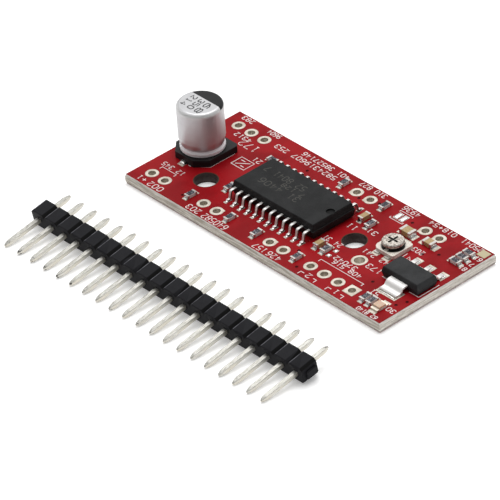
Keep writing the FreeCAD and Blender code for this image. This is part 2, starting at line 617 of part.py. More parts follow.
def make_trimmer():
    floor = LAND_TOP
    at = ("trimmer_x", "trimmer_y")
    terminals = []
    for index, (side, along) in enumerate(((-1, -1), (1, -1), (0, 1))):
        x = f"trimmer_x + {side} * terminal_half_spacing"
        y = f"trimmer_y + {along} * (terminal_reach - terminal_length / 2)"
        size = ("terminal_width", "terminal_length", "terminal_gauge")
        terminals.append(box(f"terminal_{index}", size, (x, y, floor)))
    feet = keep(group("terminal_group", terminals), "trimmer_terminals")

    plate = box("trimmer_plate", ("trimmer_length", "trimmer_width", "trimmer_height"), (*at, floor))
    left, front = number("trimmer_x"), number("trimmer_y")

    def is_upright(limits):
        return limits.ZLength > NEAR and limits.XLength < NEAR and limits.YLength < NEAR

    def is_front_left(limits):
        return is_upright(limits) and limits.XMax < left and limits.YMax < front

    def is_other_corner(limits):
        return is_upright(limits) and (limits.XMin > left or limits.YMin > front)

    soft = rounded("trimmer_corner_front", plate, "trimmer_corner", is_front_left)
    softer = rounded("trimmer_corner_rest", soft, "trimmer_corner / 3", is_other_corner)
    recess_z = f"{floor} + trimmer_height - trimmer_recess"
    recess = cylinder("trimmer_recess_tool", "trimmer_recess_radius", THROUGH, (*at, recess_z))
    bore = cylinder("trimmer_bore", "stem_radius + stem_clearance", THROUGH, (*at, "0"))
    keep(cut("trimmer_cut", softer, [feet, recess, bore]), "trimmer_base")

    ring = cylinder("track_ring", "track_outer", "track_height", (*at, recess_z))
    hole = cylinder("track_hole", "track_inner", THROUGH, (*at, "0"))
    gap_size = ("track_gap_width", "track_gap_length", THROUGH)
    gap = box("track_gap", gap_size, ("trimmer_x", "trimmer_y - track_outer", "0"))
    keep(cut("track", ring, [hole, gap]), "trimmer_track")

    under = "rotor_height - rotor_rim"
    rotor = turned("rotor_turned", [
        ("0", "stem_foot"), ("stem_radius", "stem_foot"), ("stem_radius", under), ("rotor_radius", under),
        ("rotor_radius", "rotor_height - rotor_round"),
        ("rotor_radius - rotor_round", "rotor_height"), ("0", "rotor_height"),
    ])
    place(rotor, (*at, floor))
    slot_z = f"{floor} + rotor_height - slot_depth"
    slots = [
        box("slot_long", ("slot_length", "slot_width", THROUGH), (*at, slot_z)),
        box("slot_cross", ("slot_width", "slot_length", THROUGH), (*at, slot_z)),
    ]
    keep(cut("rotor_slotted", rotor, slots), "trimmer_rotor")

    leaf_z = f"{floor} + {under} - wiper_gauge"
    leaf = cylinder("wiper_leaf", "wiper_radius + wiper_foot / 2", "wiper_gauge", (*at, leaf_z))
    track_top = f"{recess_z} + track_height + wiper_gap"
    drop = f"({leaf_z}) - ({track_top})"
    foot_at = ("trimmer_x", "trimmer_y + wiper_radius", track_top)
    foot = box("wiper_contact", ("wiper_foot", "wiper_foot", drop), foot_at)
    hub = cylinder("wiper_hub", "stem_radius", THROUGH, (*at, "0"))
    keep(cut("wiper", fuse("wiper_blank", [leaf, foot]), [hub]), "trimmer_wiper")


def chip_part(prefix, long, wide, high, cap):
    """A surface-mount block at the origin: its ceramic body, and the metal cap for one end."""
    core_size = (f"{long} - 2 * {cap}", wide, high)
    core = box(prefix + "_core", core_size, ("0", "0", "0"))
    cap_size = (cap, f"{wide} + 2 * cap_wrap", f"{high} + cap_wrap")
    end = box(prefix + "_end", cap_size, ("0", "0", "0"))
    return core, end


def make_chip_resistors():
    size = ("resistor_length", "resistor_width", "resistor_height", "resistor_cap")
    core, end = chip_part("resistor", *size)
    film_size = (
        "resistor_length - 2 * resistor_cap - film_inset", "resistor_width - film_inset", "film_height",
    )
    film = box("resistor_film", film_size, ("0", "0", "0"))
    caps_at = "(resistor_length - resistor_cap) / 2"
    families = (("row", ROW_RESISTORS), ("stack", STACK_RESISTORS), ("side", SIDE_RESISTORS))
    for family, members in families:
        stem = f"{family}_resistor"
        keep(copies(stem + "_cores", core, spots_of(members, LAND_TOP)), stem + "_bodies")
        keep(copies(stem + "_ends", end, end_spots(members, caps_at, LAND_TOP)), stem + "_end_caps")
        film_z = f"{LAND_TOP} + resistor_height"
        keep(copies(stem + "_glaze", film, spots_of(members, film_z)), stem + "_films")


def make_ceramic_capacitors():
    small = ("resistor_length", "resistor_width", "small_ceramic_height", "resistor_cap")
    big = ("big_ceramic_length", "big_ceramic_width", "big_ceramic_height", "big_ceramic_cap")
    mid = ("mid_ceramic_length", "mid_ceramic_width", "mid_ceramic_height", "big_ceramic_cap")
    families = (
        ("small_ceramic", small, SMALL_CERAMICS),
        ("big_ceramic", big, BIG_PARTS[:1]),
        ("mid_ceramic", mid, BIG_PARTS[1:2]),
    )
    for family, size, members in families:
        core, end = chip_part(family + "_block", *size)
        caps_at = f"({size[0]} - {size[3]}) / 2"
        keep(copies(family + "_cores", core, spots_of(members, LAND_TOP)), family + "_capacitor_bodies")
        ends = copies(family + "_ends", end, end_spots(members, caps_at, LAND_TOP))
        keep(ends, family + "_capacitor_end_caps")


def make_led():
    spot = [centre("led", LAND_TOP, ALONG_Y)]
    base_size = ("led_length - 2 * led_contact", "led_width", "led_base_height")
    base = box("led_base_block", base_size, ("0", "0", "0"))
    keep(copies("led_bases", base, spot), "led_base")
    contact = box("led_contact_block", ("led_contact", "led_width", "led_base_height"), ("0", "0", "0"))
    contact_spots = end_spots(BIG_PARTS[2:], "(led_length - led_contact) / 2", LAND_TOP)
    keep(copies("led_contacts", contact, contact_spots), "led_end_contacts")
    body, sketch = new_body("led_lens_block", "XY_Plane", centred_outline("led_lens_length", "led_width"))
    pad(body, sketch, "led_lens_dome", "led_height - led_base_height", draft="-led_draft")
    lens_spot = [centre("led", f"{LAND_TOP} + led_base_height", ALONG_Y)]
    keep(copies("led_lenses", body, lens_spot), "led_lens")


def make_solder_fillets():
    """The wedge of solder at each end of every chip-sized part, from its cap down to its land."""
    corners = [("0", "0"), ("fillet_reach", "0"), ("0", "fillet_rise")]
    body, sketch = new_body("fillet_wedge", "XZ_Plane", corners)
    pad(body, sketch, "fillet_prism", "resistor_width", midplane=True)
    spots = end_spots(SMALL_PARTS, "resistor_length / 2", LAND_TOP)
    for part, length in zip(BIG_PARTS, ("big_ceramic_length", "mid_ceramic_length", "led_length")):
        spots += end_spots([part], length + " / 2", LAND_TOP)
    keep(copies("fillets", body, spots), "solder_fillets")


def header_pose():
    """The strip lies tilted, on its pins' long ends and the near lower edge of its moulding."""
    spot = FreeCAD.Vector(number("header_x"), number("header_y"), number("header_axis_height"))
    turn = FreeCAD.Rotation(FreeCAD.Vector(0, 0, 1), number("header_turn"))
    tilt = FreeCAD.Rotation(FreeCAD.Vector(1, 0, 0), number("header_tilt"))
    return FreeCAD.Placement(spot, turn * tilt)


def make_header():
    shaft_size = ("header_pin", "header_front + header_back - 2 * header_tip", "header_pin")
    shaft_at = ("0", "(header_back - header_front) / 2", "-header_pin / 2")
    shapes = [box("pin_shaft", shaft_size, shaft_at)]
    tips = (("front", "header_tip - header_front", False), ("back", "header_back - header_tip", True))
    for name, y, backwards in tips:
        tip, outline = new_body(f"pin_{name}", "XZ_Plane", centred_outline("header_pin", "header_pin"))
        pad(tip, outline, f"pin_{name}_tip", "header_tip", downwards=backwards, draft="-header_taper")
        shapes.append(place(tip, ("0", y, "0")))
    pin = fuse("pin", shapes)
    spots = [(f"{index} * pitch", "0", "0", 0) for index in range(HEADER_PINS)]
    pins = copies("pin_row", pin, spots)

    side, top = "pitch / 2", "header_height / 2"
    body, sketch = new_body("housing_block", "XZ_Plane", [
        (f"-{side} + header_notch", f"-{top}"), (f"{side} - header_notch", f"-{top}"),
        (side, f"-{top} + header_notch"), (side, f"{top} - header_notch"),
        (f"{side} - header_notch", top), (f"-{side} + header_notch", top),
        (f"-{side}", f"{top} - header_notch"), (f"-{side}", f"-{top} + header_notch"),
    ])
    segment = pad(body, sketch, "housing_segment", "header_depth", midplane=True)
    row = body.newObject("PartDesign::LinearPattern", "housing_row")
    row.Originals = [segment]
    row.Direction = (sketch, ["H_Axis"])
    row.setExpression("Length", bound(f"{HEADER_PINS - 1} * pitch"))
    row.Occurrences = HEADER_PINS
    body.Tip = row
    stub_x = f"({HEADER_PINS} - 0.5) * pitch + stub_length / 2"
    stub = box("broken_web", ("stub_length", "stub_depth", "stub_height"), (stub_x, "stub_y", "stub_z"))
    moulding = fuse("housing_with_web", [body, stub])
    holes = copies("pin_hole_row", pin, spots)
    housing = cut("housing_pierced", moulding, [holes])
    for node, label in ((housing, "header_housing"), (pins, "header_pins")):
        keep(node, label)
        node.Placement = header_pose()


def export_parts():
    doc.recompute()
    os.makedirs("parts", exist_ok=True)
    for item in doc.Objects:
        if {"Invalid", "Error"} & set(item.State):
            raise RuntimeError(f"{item.Name} ({item.Label}) did not compute: {item.State}")
    for item in parts:
        shape = item.Shape
        if shape.isNull() or not shape.isValid() or not shape.Solids:
            raise RuntimeError(f"{item.Label} has no valid solid")
        shape.exportStep(f"parts/{item.Label}.step")
        limits = shape.BoundBox
        print(
            f"{item.Label:34s} solids {len(shape.Solids):3d}  volume {shape.Volume:9.4f}  "
            f"x {limits.XMin:7.2f} {limits.XMax:7.2f}  y {limits.YMin:7.2f} {limits.YMax:7.2f}  "
            f"z {limits.ZMin:6.3f} {limits.ZMax:6.3f}"
        )
    print(len(parts), "sub-parts")


make_board()
make_plated_holes()
make_lands()
make_capacitor()
make_driver_chip()
make_regulator()
make_trimmer()
make_chip_resistors()
make_ceramic_capacitors()
make_led()
make_solder_fillets()
make_header()
export_parts()
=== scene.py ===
import json
import math

import bmesh
import bpy
from mathutils import Matrix, Vector


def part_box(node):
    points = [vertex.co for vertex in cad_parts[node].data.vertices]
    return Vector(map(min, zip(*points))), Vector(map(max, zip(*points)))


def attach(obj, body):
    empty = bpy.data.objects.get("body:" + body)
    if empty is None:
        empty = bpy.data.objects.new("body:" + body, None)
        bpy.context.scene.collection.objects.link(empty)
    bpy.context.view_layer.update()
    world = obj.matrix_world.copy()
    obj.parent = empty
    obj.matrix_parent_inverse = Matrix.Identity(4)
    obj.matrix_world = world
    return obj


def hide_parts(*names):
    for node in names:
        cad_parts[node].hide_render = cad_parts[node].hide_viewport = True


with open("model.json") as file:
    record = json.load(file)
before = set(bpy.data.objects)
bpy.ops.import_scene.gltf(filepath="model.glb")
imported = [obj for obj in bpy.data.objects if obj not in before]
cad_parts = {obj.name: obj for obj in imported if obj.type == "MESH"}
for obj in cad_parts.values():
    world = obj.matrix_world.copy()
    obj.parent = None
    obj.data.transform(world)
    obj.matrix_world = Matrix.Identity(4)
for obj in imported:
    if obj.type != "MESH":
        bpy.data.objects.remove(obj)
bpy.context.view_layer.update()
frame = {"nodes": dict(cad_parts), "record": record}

MM = 0.001
nodes = frame["nodes"]
SLOTS = {item["node"]: item["material_slot"] for item in frame["record"]["subparts"]}

# The pin grid: its pitch, the column at the board's middle, and each row's distance from the middle line.
PITCH = 2.54
MIDDLE_COLUMN = 8.5
ROW = 7.62


# ---------------------------------------------------------------- places

def span(node):
    """A CAD node's lowest and highest corners, in millimetres."""
    low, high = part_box(node)
    return low / MM, high / MM


def column(k):
    """Where column k of the pin grid stands, counted from the capacitor end."""
    return (k - MIDDLE_COLUMN) * PITCH


def islands(node):
    """The boxes of a node's separate solids, in millimetres, from left to right."""
    mesh = nodes[node].data
    spots = {}
    where = [spots.setdefault(tuple(round(c / MM, 4) for c in v.co), len(spots)) for v in mesh.vertices]
    leader = list(range(len(spots)))

    def find(i):
        while leader[i] != i:
            leader[i] = leader[leader[i]]
            i = leader[i]
        return i

    for face in mesh.polygons:
        first = find(where[face.vertices[0]])
        for corner in face.vertices[1:]:
            leader[find(where[corner])] = first
    boxes = {}
    for spot, i in spots.items():
        low, high = boxes.setdefault(find(i), (list(spot), list(spot)))
        for axis in range(3):
            low[axis] = min(low[axis], spot[axis])
            high[axis] = max(high[axis], spot[axis])
    return sorted((Vector(low), Vector(high)) for low, high in boxes.values())


BOARD_TOP = span("solder_mask_top")[1].z
LAND_TOP = span("barrels_header_holes")[1].z


# ---------------------------------------------------------------- materials

class Look:
    """A material built from nodes that read the piece's own millimetres."""

    def __init__(self, name, colour, roughness=0.5, metallic=0.0):
        self.material = bpy.data.materials.new(name)
        self.material.use_nodes = True
        self.tree = self.material.node_tree
        self.shader = self.tree.nodes["Principled BSDF"]
        self.material.diffuse_color = (*colour, 1)
        self.put("Base Color", (*colour, 1))
        self.put("Roughness", roughness)
        self.put("Metallic", metallic)
        self.where = self.tree.nodes.new("ShaderNodeTexCoord").outputs["Object"]

    def node(self, kind, **settings):
        made = self.tree.nodes.new(kind)
        for key, value in settings.items():
            setattr(made, key, value)
        return made

    def feed(self, socket, value):
        if isinstance(value, bpy.types.NodeSocket):
            self.tree.links.new(value, socket)
        else:
            socket.default_value = value

    def put(self, name, value):
        self.feed(self.shader.inputs[name], value)

    def scaled(self, stretch=(1, 1, 1)):
        """The piece's own coordinates in millimetres, stretched along each axis."""
        mapping = self.node("ShaderNodeMapping", vector_type="POINT")
        self.feed(mapping.inputs["Vector"], self.where)
        mapping.inputs["Scale"].default_value = [1 / MM / s for s in stretch]
        return mapping.outputs["Vector"]

    def noise(self, size, detail=3.0, stretch=(1, 1, 1), rough=0.55):
        """Cloudy noise from 0 to 1, its lumps about size millimetres across."""
        made = self.node("ShaderNodeTexNoise")
        self.feed(made.inputs["Vector"], self.scaled(stretch))
        made.inputs["Scale"].default_value = 1 / size
        made.inputs["Detail"].default_value = detail
        made.inputs["Roughness"].default_value = rough
        return made.outputs["Fac"]

    def height(self, axis="Z"):
        """The place along one axis, in millimetres."""
        parts = self.node("ShaderNodeSeparateXYZ")
        self.feed(parts.inputs[0], self.scaled())
        return parts.outputs[axis]

    def normal(self, axis):
        """The surface's direction along one axis of the piece, from -1 to 1."""
        parts = self.node("ShaderNodeSeparateXYZ")
        self.feed(parts.inputs[0], self.node("ShaderNodeTexCoord").outputs["Normal"])
        return parts.outputs[axis]

    def facing(self, axis):
        """How squarely the surface faces along one axis of the piece, either way."""
        return self.maths("ABSOLUTE", self.normal(axis), 0.0)

    def from_axis(self, x, y):
        """The distance from an upright axis, in millimetres."""
        across = self.maths("SUBTRACT", self.height("X"), x)
        along = self.maths("SUBTRACT", self.height("Y"), y)
        return self.maths("SQRT", self.maths("ADD", self.squared(across), self.squared(along)), 0.0)

    def squared(self, value):
        return self.maths("MULTIPLY", value, value)

    def ranged(self, value, low, high, to_low=0.0, to_high=1.0):
        made = self.node("ShaderNodeMapRange", interpolation_type="SMOOTHSTEP")
        for key, number in zip(("From Min", "From Max", "To Min", "To Max"), (low, high, to_low, to_high)):
            made.inputs[key].default_value = number
        self.feed(made.inputs["Value"], value)
        return made.outputs["Result"]

    def maths(self, operation, a, b):
        made = self.node("ShaderNodeMath", operation=operation)
        self.feed(made.inputs[0], a)
        self.feed(made.inputs[1], b)
        return made.outputs[0]

    def mixed(self, factor, a, b):
        made = self.node("ShaderNodeMix", data_type="RGBA")
        self.feed(made.inputs["Factor"], factor)
        for socket, value in ((made.inputs[6], a), (made.inputs[7], b)):
            self.feed(socket, value if isinstance(value, bpy.types.NodeSocket) else (*value, 1))
        return made.outputs[2]

    def bump(self, value, depth, strength=1.0):
        """Raises the surface by depth millimetres where value is 1."""
        made = self.node("ShaderNodeBump")
        made.inputs["Strength"].default_value = strength
        made.inputs["Distance"].default_value = depth * MM
        self.feed(made.inputs["Height"], value)
        self.put("Normal", made.outputs["Normal"])


# How far the loose strip is turned and tilted on the surface.
STRIP_TURN = math.radians(0.75)
STRIP_TILT = math.radians(9.66)

# The two mounting holes' axes.  Their walls are painted dark as shade inside the holes, and the lacquer has a
# brown rim round them.
MOUNT_HOLES = ((-15.24, -3.81), (8.89, 0.0))


def lacquer_look():
    """Red solder mask: even and slightly cloudy, with a fine orange-peel surface."""
    look = Look("red_lacquer", (0.34, 0.004, 0.007), 0.32)
    cloud = look.noise(5.0, 4.0)
    coat = look.mixed(look.ranged(cloud, 0.35, 0.65), (0.24, 0.003, 0.006), (0.33, 0.006, 0.010))
    for x, y in MOUNT_HOLES:
        rim = look.ranged(look.from_axis(x, y), 1.68, 1.78, 1.0, 0.0)
        coat = look.mixed(rim, coat, (0.085, 0.045, 0.028))
    look.put("Base Color", coat)
    look.put("Roughness", look.ranged(look.noise(0.6), 0.3, 0.7, 0.3, 0.42))
    look.put("Specular IOR Level", 0.07)
    look.bump(look.noise(0.35, 4.0), 0.006)
    return look


def laminate_look():
    """The sawn edge of woven glass-epoxy: thin pale layers, scuffed along the cut.  Light and shade are
    painted on it: darker where it faces along Y, lighter where it faces along X, a near-white band of painted
    light at its foot under a painted contact shadow, a paler band towards its top, and painted shade on the
    mounting holes' walls.
    """
    look = Look("glass_epoxy", (0.72, 0.68, 0.56), 0.7)
    layers = look.noise(0.45, 4.0, (6, 6, 0.6), 0.65)
    scuffs = look.noise(0.5, 5.0, (3, 3, 1.2), 0.7)
    pale = look.mixed(look.ranged(layers, 0.38, 0.62), (0.40, 0.35, 0.28), (0.82, 0.77, 0.70))
    # Painted shade and light: the edges that face along Y are painted darker, and those that face along X
    # lighter.
    pale = look.mixed(look.ranged(look.facing("Y"), 0.6, 0.9, 0.0, 0.3), pale, (0.34, 0.30, 0.25))
    pale = look.mixed(look.ranged(look.facing("X"), 0.6, 0.9, 0.0, 0.3), pale, (0.90, 0.84, 0.78))
    # Paler bands: near-white at the foot, painted light standing in for the lit floor beneath the edge, and
    # paler towards the top edge.
    pale_bands = look.maths("MAXIMUM", look.ranged(look.height(), 0.08, 0.13, 0.8, 0.0),
                      look.ranged(look.height(), 1.22, 1.34, 0.0, 0.5))
    pale = look.mixed(pale_bands, pale, (0.84, 0.82, 0.79))
    specks = look.ranged(look.noise(0.28, 3.0, (2, 2, 1)), 0.62, 0.72, 0.0, 0.55)
    pale = look.mixed(specks, pale, (0.20, 0.16, 0.12))
    # A painted contact shadow: a dark line low on the edge, its strength varied by the scuffs' noise.
    contact_shadow = look.maths("MULTIPLY", look.ranged(look.height(), 0.11, 0.16),
                      look.ranged(look.height(), 0.24, 0.34, 1.0, 0.0))
    contact_shadow = look.maths("MULTIPLY", contact_shadow, look.ranged(scuffs, 0.25, 0.5, 0.55, 1.0))
    shadowed = look.mixed(contact_shadow, pale, (0.12, 0.105, 0.085))
    for x, y in MOUNT_HOLES:
        # The mounting holes' walls are painted dark as shade inside the holes.
        hole_wall_shade = look.ranged(look.from_axis(x, y), 1.63, 1.67, 1.0, 0.0)
        shadowed = look.mixed(hole_wall_shade, shadowed, (0.030, 0.012, 0.009))
    look.put("Base Color", shadowed)
    look.put("Roughness", look.ranged(scuffs, 0.3, 0.7, 0.5, 0.85))
    look.bump(scuffs, 0.05)
    return look


def tinned_pad_look():
    """Solder-coated copper: satin, and uneven where the solder flowed."""
    look = Look("tinned_copper", (0.62, 0.57, 0.49), 0.42, 0.6)
    flow = look.noise(0.9, 3.0)
    look.put("Base Color", look.mixed(look.ranged(flow, 0.35, 0.65), (0.52, 0.47, 0.39), (0.70, 0.65, 0.57)))
    look.put("Roughness", look.ranged(look.noise(0.3), 0.3, 0.7, 0.34, 0.55))
    look.bump(flow, 0.03)
    return look


def solder_look():
    """Bright reflowed solder."""
    look = Look("bright_solder", (0.86, 0.85, 0.83), 0.2, 1.0)
    look.put("Roughness", look.ranged(look.noise(0.25), 0.3, 0.7, 0.14, 0.34))
    look.put("Base Color", look.mixed(look.noise(0.5), (0.70, 0.69, 0.66), (0.95, 0.94, 0.92)))
    look.bump(look.noise(0.5, 2.0), 0.03)
    return look


def tinned_lead_look():
    """Tin plating, finely brushed."""
    look = Look("tinned_lead", (0.62, 0.60, 0.57), 0.35, 0.9)
    look.put("Base Color", look.mixed(look.noise(0.4), (0.50, 0.48, 0.45), (0.72, 0.70, 0.67)))
    look.put("Roughness", look.ranged(look.noise(0.12, 3.0, (1, 4, 4)), 0.3, 0.7, 0.24, 0.4))
    look.bump(look.noise(0.1, 3.0), 0.004)
    return look


def sheared_lead_look():
    """Lead frame metal: plated on its faces, with the sides that face along X painted dark as shade."""
    look = Look("sheared_lead", (0.86, 0.85, 0.83), 0.38, 0.55)
    plated = look.mixed(look.noise(0.4), (0.78, 0.77, 0.75), (0.93, 0.92, 0.90))
    # Painted shade: the sides that face along X are dark.
    look.put("Base Color", look.mixed(look.ranged(look.facing("X"), 0.55, 0.8), plated, (0.16, 0.10, 0.09)))
    look.put("Roughness", look.ranged(look.noise(0.12, 3.0, (1, 4, 4)), 0.3, 0.7, 0.24, 0.4))
    look.bump(look.noise(0.1, 3.0), 0.004)
    return look


def bright_lead_look():
    """The regulator's wide tin-plated leads, clean on every side."""
    look = Look("bright_lead", (0.90, 0.89, 0.87), 0.4, 0.45)
    look.put("Base Color", look.mixed(look.noise(0.7), (0.86, 0.85, 0.83), (0.96, 0.95, 0.93)))
    look.put("Roughness", look.ranged(look.noise(0.3, 3.0, (1, 4, 4)), 0.3, 0.7, 0.34, 0.46))
    look.bump(look.noise(0.2, 3.0), 0.003)
    return look


# The pin-one dimple's axis on the driver chip.
DIMPLE = (4.34, 0.2)


def moulding_look(name="moulding_black", colour=(0.027, 0.028, 0.029)):
    """Filled epoxy: almost matt, with a fine grain and a cloudy grey bloom."""
    look = Look(name, colour, 0.55)
    look.put("Specular IOR Level", 0.12)
    bloom = look.noise(2.2, 4.0)
    grain = look.noise(0.07, 2.0)
    lighter = tuple(c * 1.35 for c in colour)
    darker = tuple(c * 0.78 for c in colour)
    filled = look.mixed(look.ranged(bloom, 0.3, 0.7), darker, lighter)
    sunk = look.ranged(look.from_axis(*DIMPLE), 0.5, 0.56, 1.0, 0.0)
    look.put("Base Color", look.mixed(sunk, filled, tuple(c * 0.45 for c in colour)))
    look.put("Roughness", look.ranged(grain, 0.3, 0.7, 0.46, 0.66))
    look.bump(grain, 0.012)
    return look


# How far behind the can's axis the inked segment on its top begins.
INK_CHORD = 1.0


def can_look():
    """Drawn aluminium: satin, with fine lines round it, a painted highlight on the shoulder, a bright foot
    painted as a highlight, and a black inked segment on top.
    """
    look = Look("can_aluminium", (0.64, 0.63, 0.64), 0.4, 0.8)
    low, high = span("capacitor_can")
    drawn = look.noise(0.12, 3.0, (10, 10, 0.5))
    metal = look.mixed(look.noise(1.6), (0.50, 0.49, 0.50), (0.59, 0.58, 0.59))
    top = look.ranged(look.height(), high.z - 0.12, high.z - 0.06)
    metal = look.mixed(top, metal, (0.53, 0.53, 0.54))
    # A painted highlight on the shoulder, the band just below the top's rim.
    shoulder = look.maths("MULTIPLY", look.ranged(look.height(), high.z - 0.9, high.z - 0.4),
                          look.ranged(look.height(), high.z - 0.08, high.z - 0.03, 1.0, 0.0))
    metal = look.mixed(shoulder, metal, (0.66, 0.66, 0.66))
    # The foot is painted near-white as a highlight.
    foot = look.ranged(look.height(), low.z + 0.86, low.z + 0.94, 1.0, 0.0)
    metal = look.mixed(foot, metal, (0.95, 0.94, 0.96))
    chord = (low.y + high.y) / 2 + INK_CHORD
    inked = look.maths("MULTIPLY", look.ranged(look.height("Y"), chord - 0.02, chord + 0.02),
                       look.ranged(look.height(), high.z - 0.45, high.z - 0.38))
    look.put("Base Color", look.mixed(inked, metal, (0.020, 0.020, 0.021)))
    # Less metallic where the ink, the foot's painted highlight and the shoulder's painted highlight lie.
    dull = look.maths("MAXIMUM", look.maths("MAXIMUM", inked, foot), look.maths("MULTIPLY", shoulder, 0.7))
    look.put("Metallic", look.ranged(dull, 0.0, 1.0, 0.8, 0.1))
    look.put("Specular IOR Level", look.ranged(inked, 0.0, 1.0, 0.5, 0.15))
    look.put("Roughness", look.ranged(drawn, 0.3, 0.7, 0.36, 0.5))
    look.bump(drawn, 0.003)
    return look


def plastic_look(name, colour, roughness=0.42, grain=0.15):
    """Moulded resin or rubber: a faint cloud in its colour, and a fine grain."""
    look = Look(name, colour, roughness)
    look.put("Specular IOR Level", 0.2)
    fine = look.noise(grain, 3.0)
    lighter = tuple(min(1.0, c * 1.3 + 0.002) for c in colour)
    look.put("Base Color", look.mixed(look.noise(1.5), colour, lighter))
    look.put("Roughness", look.ranged(fine, 0.3, 0.7, roughness - 0.08, roughness + 0.1))
    look.bump(fine, 0.008)
    return look


# The pale highlight painted along a notch edge on each of the header's segments: where it rises and falls, in
# parts of the pitch.
EDGE_HIGHLIGHT_RISE = (0.125, 0.145)
EDGE_HIGHLIGHT_FALL = (0.165, 0.185)

# The count along the strip starts at a notch, half a pitch before a pin, and stays above zero.
EDGE_HIGHLIGHT_COUNT_START = 10.5


def header_look():
    """Black polyester, with a thin pale highlight painted along one edge of each notch, and the notch walls
    that lean towards +X painted darker as shade.
    """
    look = Look("header_black", (0.012, 0.012, 0.014), 0.5)
    look.put("Specular IOR Level", 0.07)
    body = look.mixed(look.noise(1.5), (0.010, 0.010, 0.012), (0.018, 0.018, 0.021))
    # Painted shade: the upward faces that lean towards +X, the notch walls, are darker.
    upper = look.ranged(look.normal("Z"), 0.25, 0.4)
    shaded = look.maths("MULTIPLY", upper, look.ranged(look.normal("X"), 0.45, 0.7))
    body = look.mixed(shaded, body, (0.008, 0.008, 0.008))
    low, high = islands("header_pins")[0]
    first = (low + high) / 2
    along, slant = math.cos(STRIP_TURN) / PITCH, math.sin(STRIP_TURN) / PITCH
    steps = look.maths("ADD", look.maths("MULTIPLY", look.height("X"), along),
                       look.maths("MULTIPLY", look.height("Y"), slant))
    start = first.x * along + first.y * slant - EDGE_HIGHLIGHT_COUNT_START
    place = look.maths("FRACT", look.maths("SUBTRACT", steps, start), 0.0)
    # A painted highlight: a thin pale line along one edge of each notch, on the upward faces only.
    line = look.maths("MULTIPLY", look.ranged(place, *EDGE_HIGHLIGHT_RISE), look.ranged(place, *EDGE_HIGHLIGHT_FALL, 1.0, 0.0))
    line = look.maths("MULTIPLY", line, look.ranged(look.normal("Z"), 0.8, 0.9))
    line = look.maths("MULTIPLY", line, look.ranged(look.noise(1.1, 3.0), 0.3, 0.6, 0.25, 1.0))
    look.put("Base Color", look.mixed(line, body, (0.15, 0.15, 0.165)))
    look.bump(look.noise(0.3, 3.0), 0.008)
    return look


def ceramic_look(name, colour, roughness=0.5, speck=0.16):
    """A mottled, lightly pitted body."""
    look = Look(name, colour, roughness)
    mottle = look.noise(speck, 3.0)
    lighter = tuple(min(1.0, c * 1.18) for c in colour)
    darker = tuple(c * 0.8 for c in colour)
    look.put("Base Color", look.mixed(look.ranged(mottle, 0.3, 0.7), darker, lighter))
    look.put("Roughness", look.ranged(mottle, 0.3, 0.7, roughness - 0.1, roughness + 0.1))
    look.bump(mottle, 0.012)
    return look


def pressed_steel_look():
    """Plated steel with a speckled, slightly tarnished face, and the hollows in the rotor's middle painted
    dark as shade.
    """
    look = Look("trimmer_steel", (0.66, 0.63, 0.58), 0.38, 0.85)
    speckle = look.noise(0.22, 4.0)
    face = look.mixed(look.ranged(speckle, 0.38, 0.62), (0.28, 0.245, 0.21), (0.64, 0.595, 0.54))
    low, high = span("trimmer_rotor")
    middle = (low + high) / 2
    inside = look.ranged(look.from_axis(middle.x, middle.y), 0.95, 1.05, 1.0, 0.0)
    sunk = look.ranged(look.height(), high.z - 0.1, high.z - 0.02, 1.0, 0.0)
    # Painted shade: within a millimetre of the rotor's axis and below its face, the metal is painted dark.
    look.put("Base Color", look.mixed(look.maths("MULTIPLY", inside, sunk), face, (0.055, 0.05, 0.046)))
    look.put("Roughness", look.ranged(speckle, 0.3, 0.7, 0.3, 0.5))
    look.bump(speckle, 0.02)
    return look


def pin_look():
    """Plated square wire: drawn streaks along it, its upward faces painted darker as shade, with dark flecks
    near its ends.
    """
    look = Look("header_pin_metal", (0.60, 0.59, 0.54), 0.36, 0.75)
    drawn = look.noise(0.13, 3.0, (1, 16, 1))
    streaks = look.mixed(look.ranged(drawn, 0.35, 0.65), (0.50, 0.485, 0.43), (0.80, 0.785, 0.74))
    metal = look.mixed(look.ranged(look.noise(1.8), 0.35, 0.65), streaks, (0.70, 0.665, 0.58))
    # Painted shade: the upward faces take darker colours.
    upper = look.ranged(look.normal("Z"), 0.5, 0.8)
    top_shade = look.mixed(look.ranged(drawn, 0.3, 0.7), (0.34, 0.335, 0.30), (0.62, 0.61, 0.57))
    metal = look.mixed(upper, metal, top_shade)
    low, high = span("header_pins")
    ends = look.maths("MAXIMUM", look.ranged(look.height("Y"), low.y + 0.5, low.y + 0.8, 1.0, 0.0),
                      look.ranged(look.height("Y"), high.y - 0.7, high.y - 0.4))
    flecks = look.ranged(look.noise(0.28, 2.0), 0.56, 0.62)
    look.put("Base Color", look.mixed(look.maths("MULTIPLY", ends, flecks), metal, (0.05, 0.045, 0.04)))
    look.put("Roughness", look.ranged(drawn, 0.3, 0.7, 0.26, 0.46))
    look.bump(drawn, 0.012)
    return look


def resin_look():
    """The lamp's peach lens, which lets light in a little way."""
    look = Look("led_resin", (0.66, 0.44, 0.31), 0.4)
    look.put("Base Color", look.mixed(look.noise(0.5), (0.58, 0.38, 0.26), (0.72, 0.51, 0.38)))
    look.put("Subsurface Weight", 0.3)
    look.put("Subsurface Radius", (1.0, 0.5, 0.3))
    look.put("Subsurface Scale", 0.5 * MM)
    look.bump(look.noise(0.3), 0.01)
    return look


def ink_look(name, colour, roughness=0.6):
    """Screen-printed ink, thinner in places."""
    look = Look(name, colour, roughness)
    patchy = look.ranged(look.noise(0.2, 3.0), 0.3, 0.7)
    look.put("Base Color", look.mixed(patchy, tuple(c * 0.86 for c in colour), colour))
    look.bump(look.noise(0.08), 0.002)
    return look


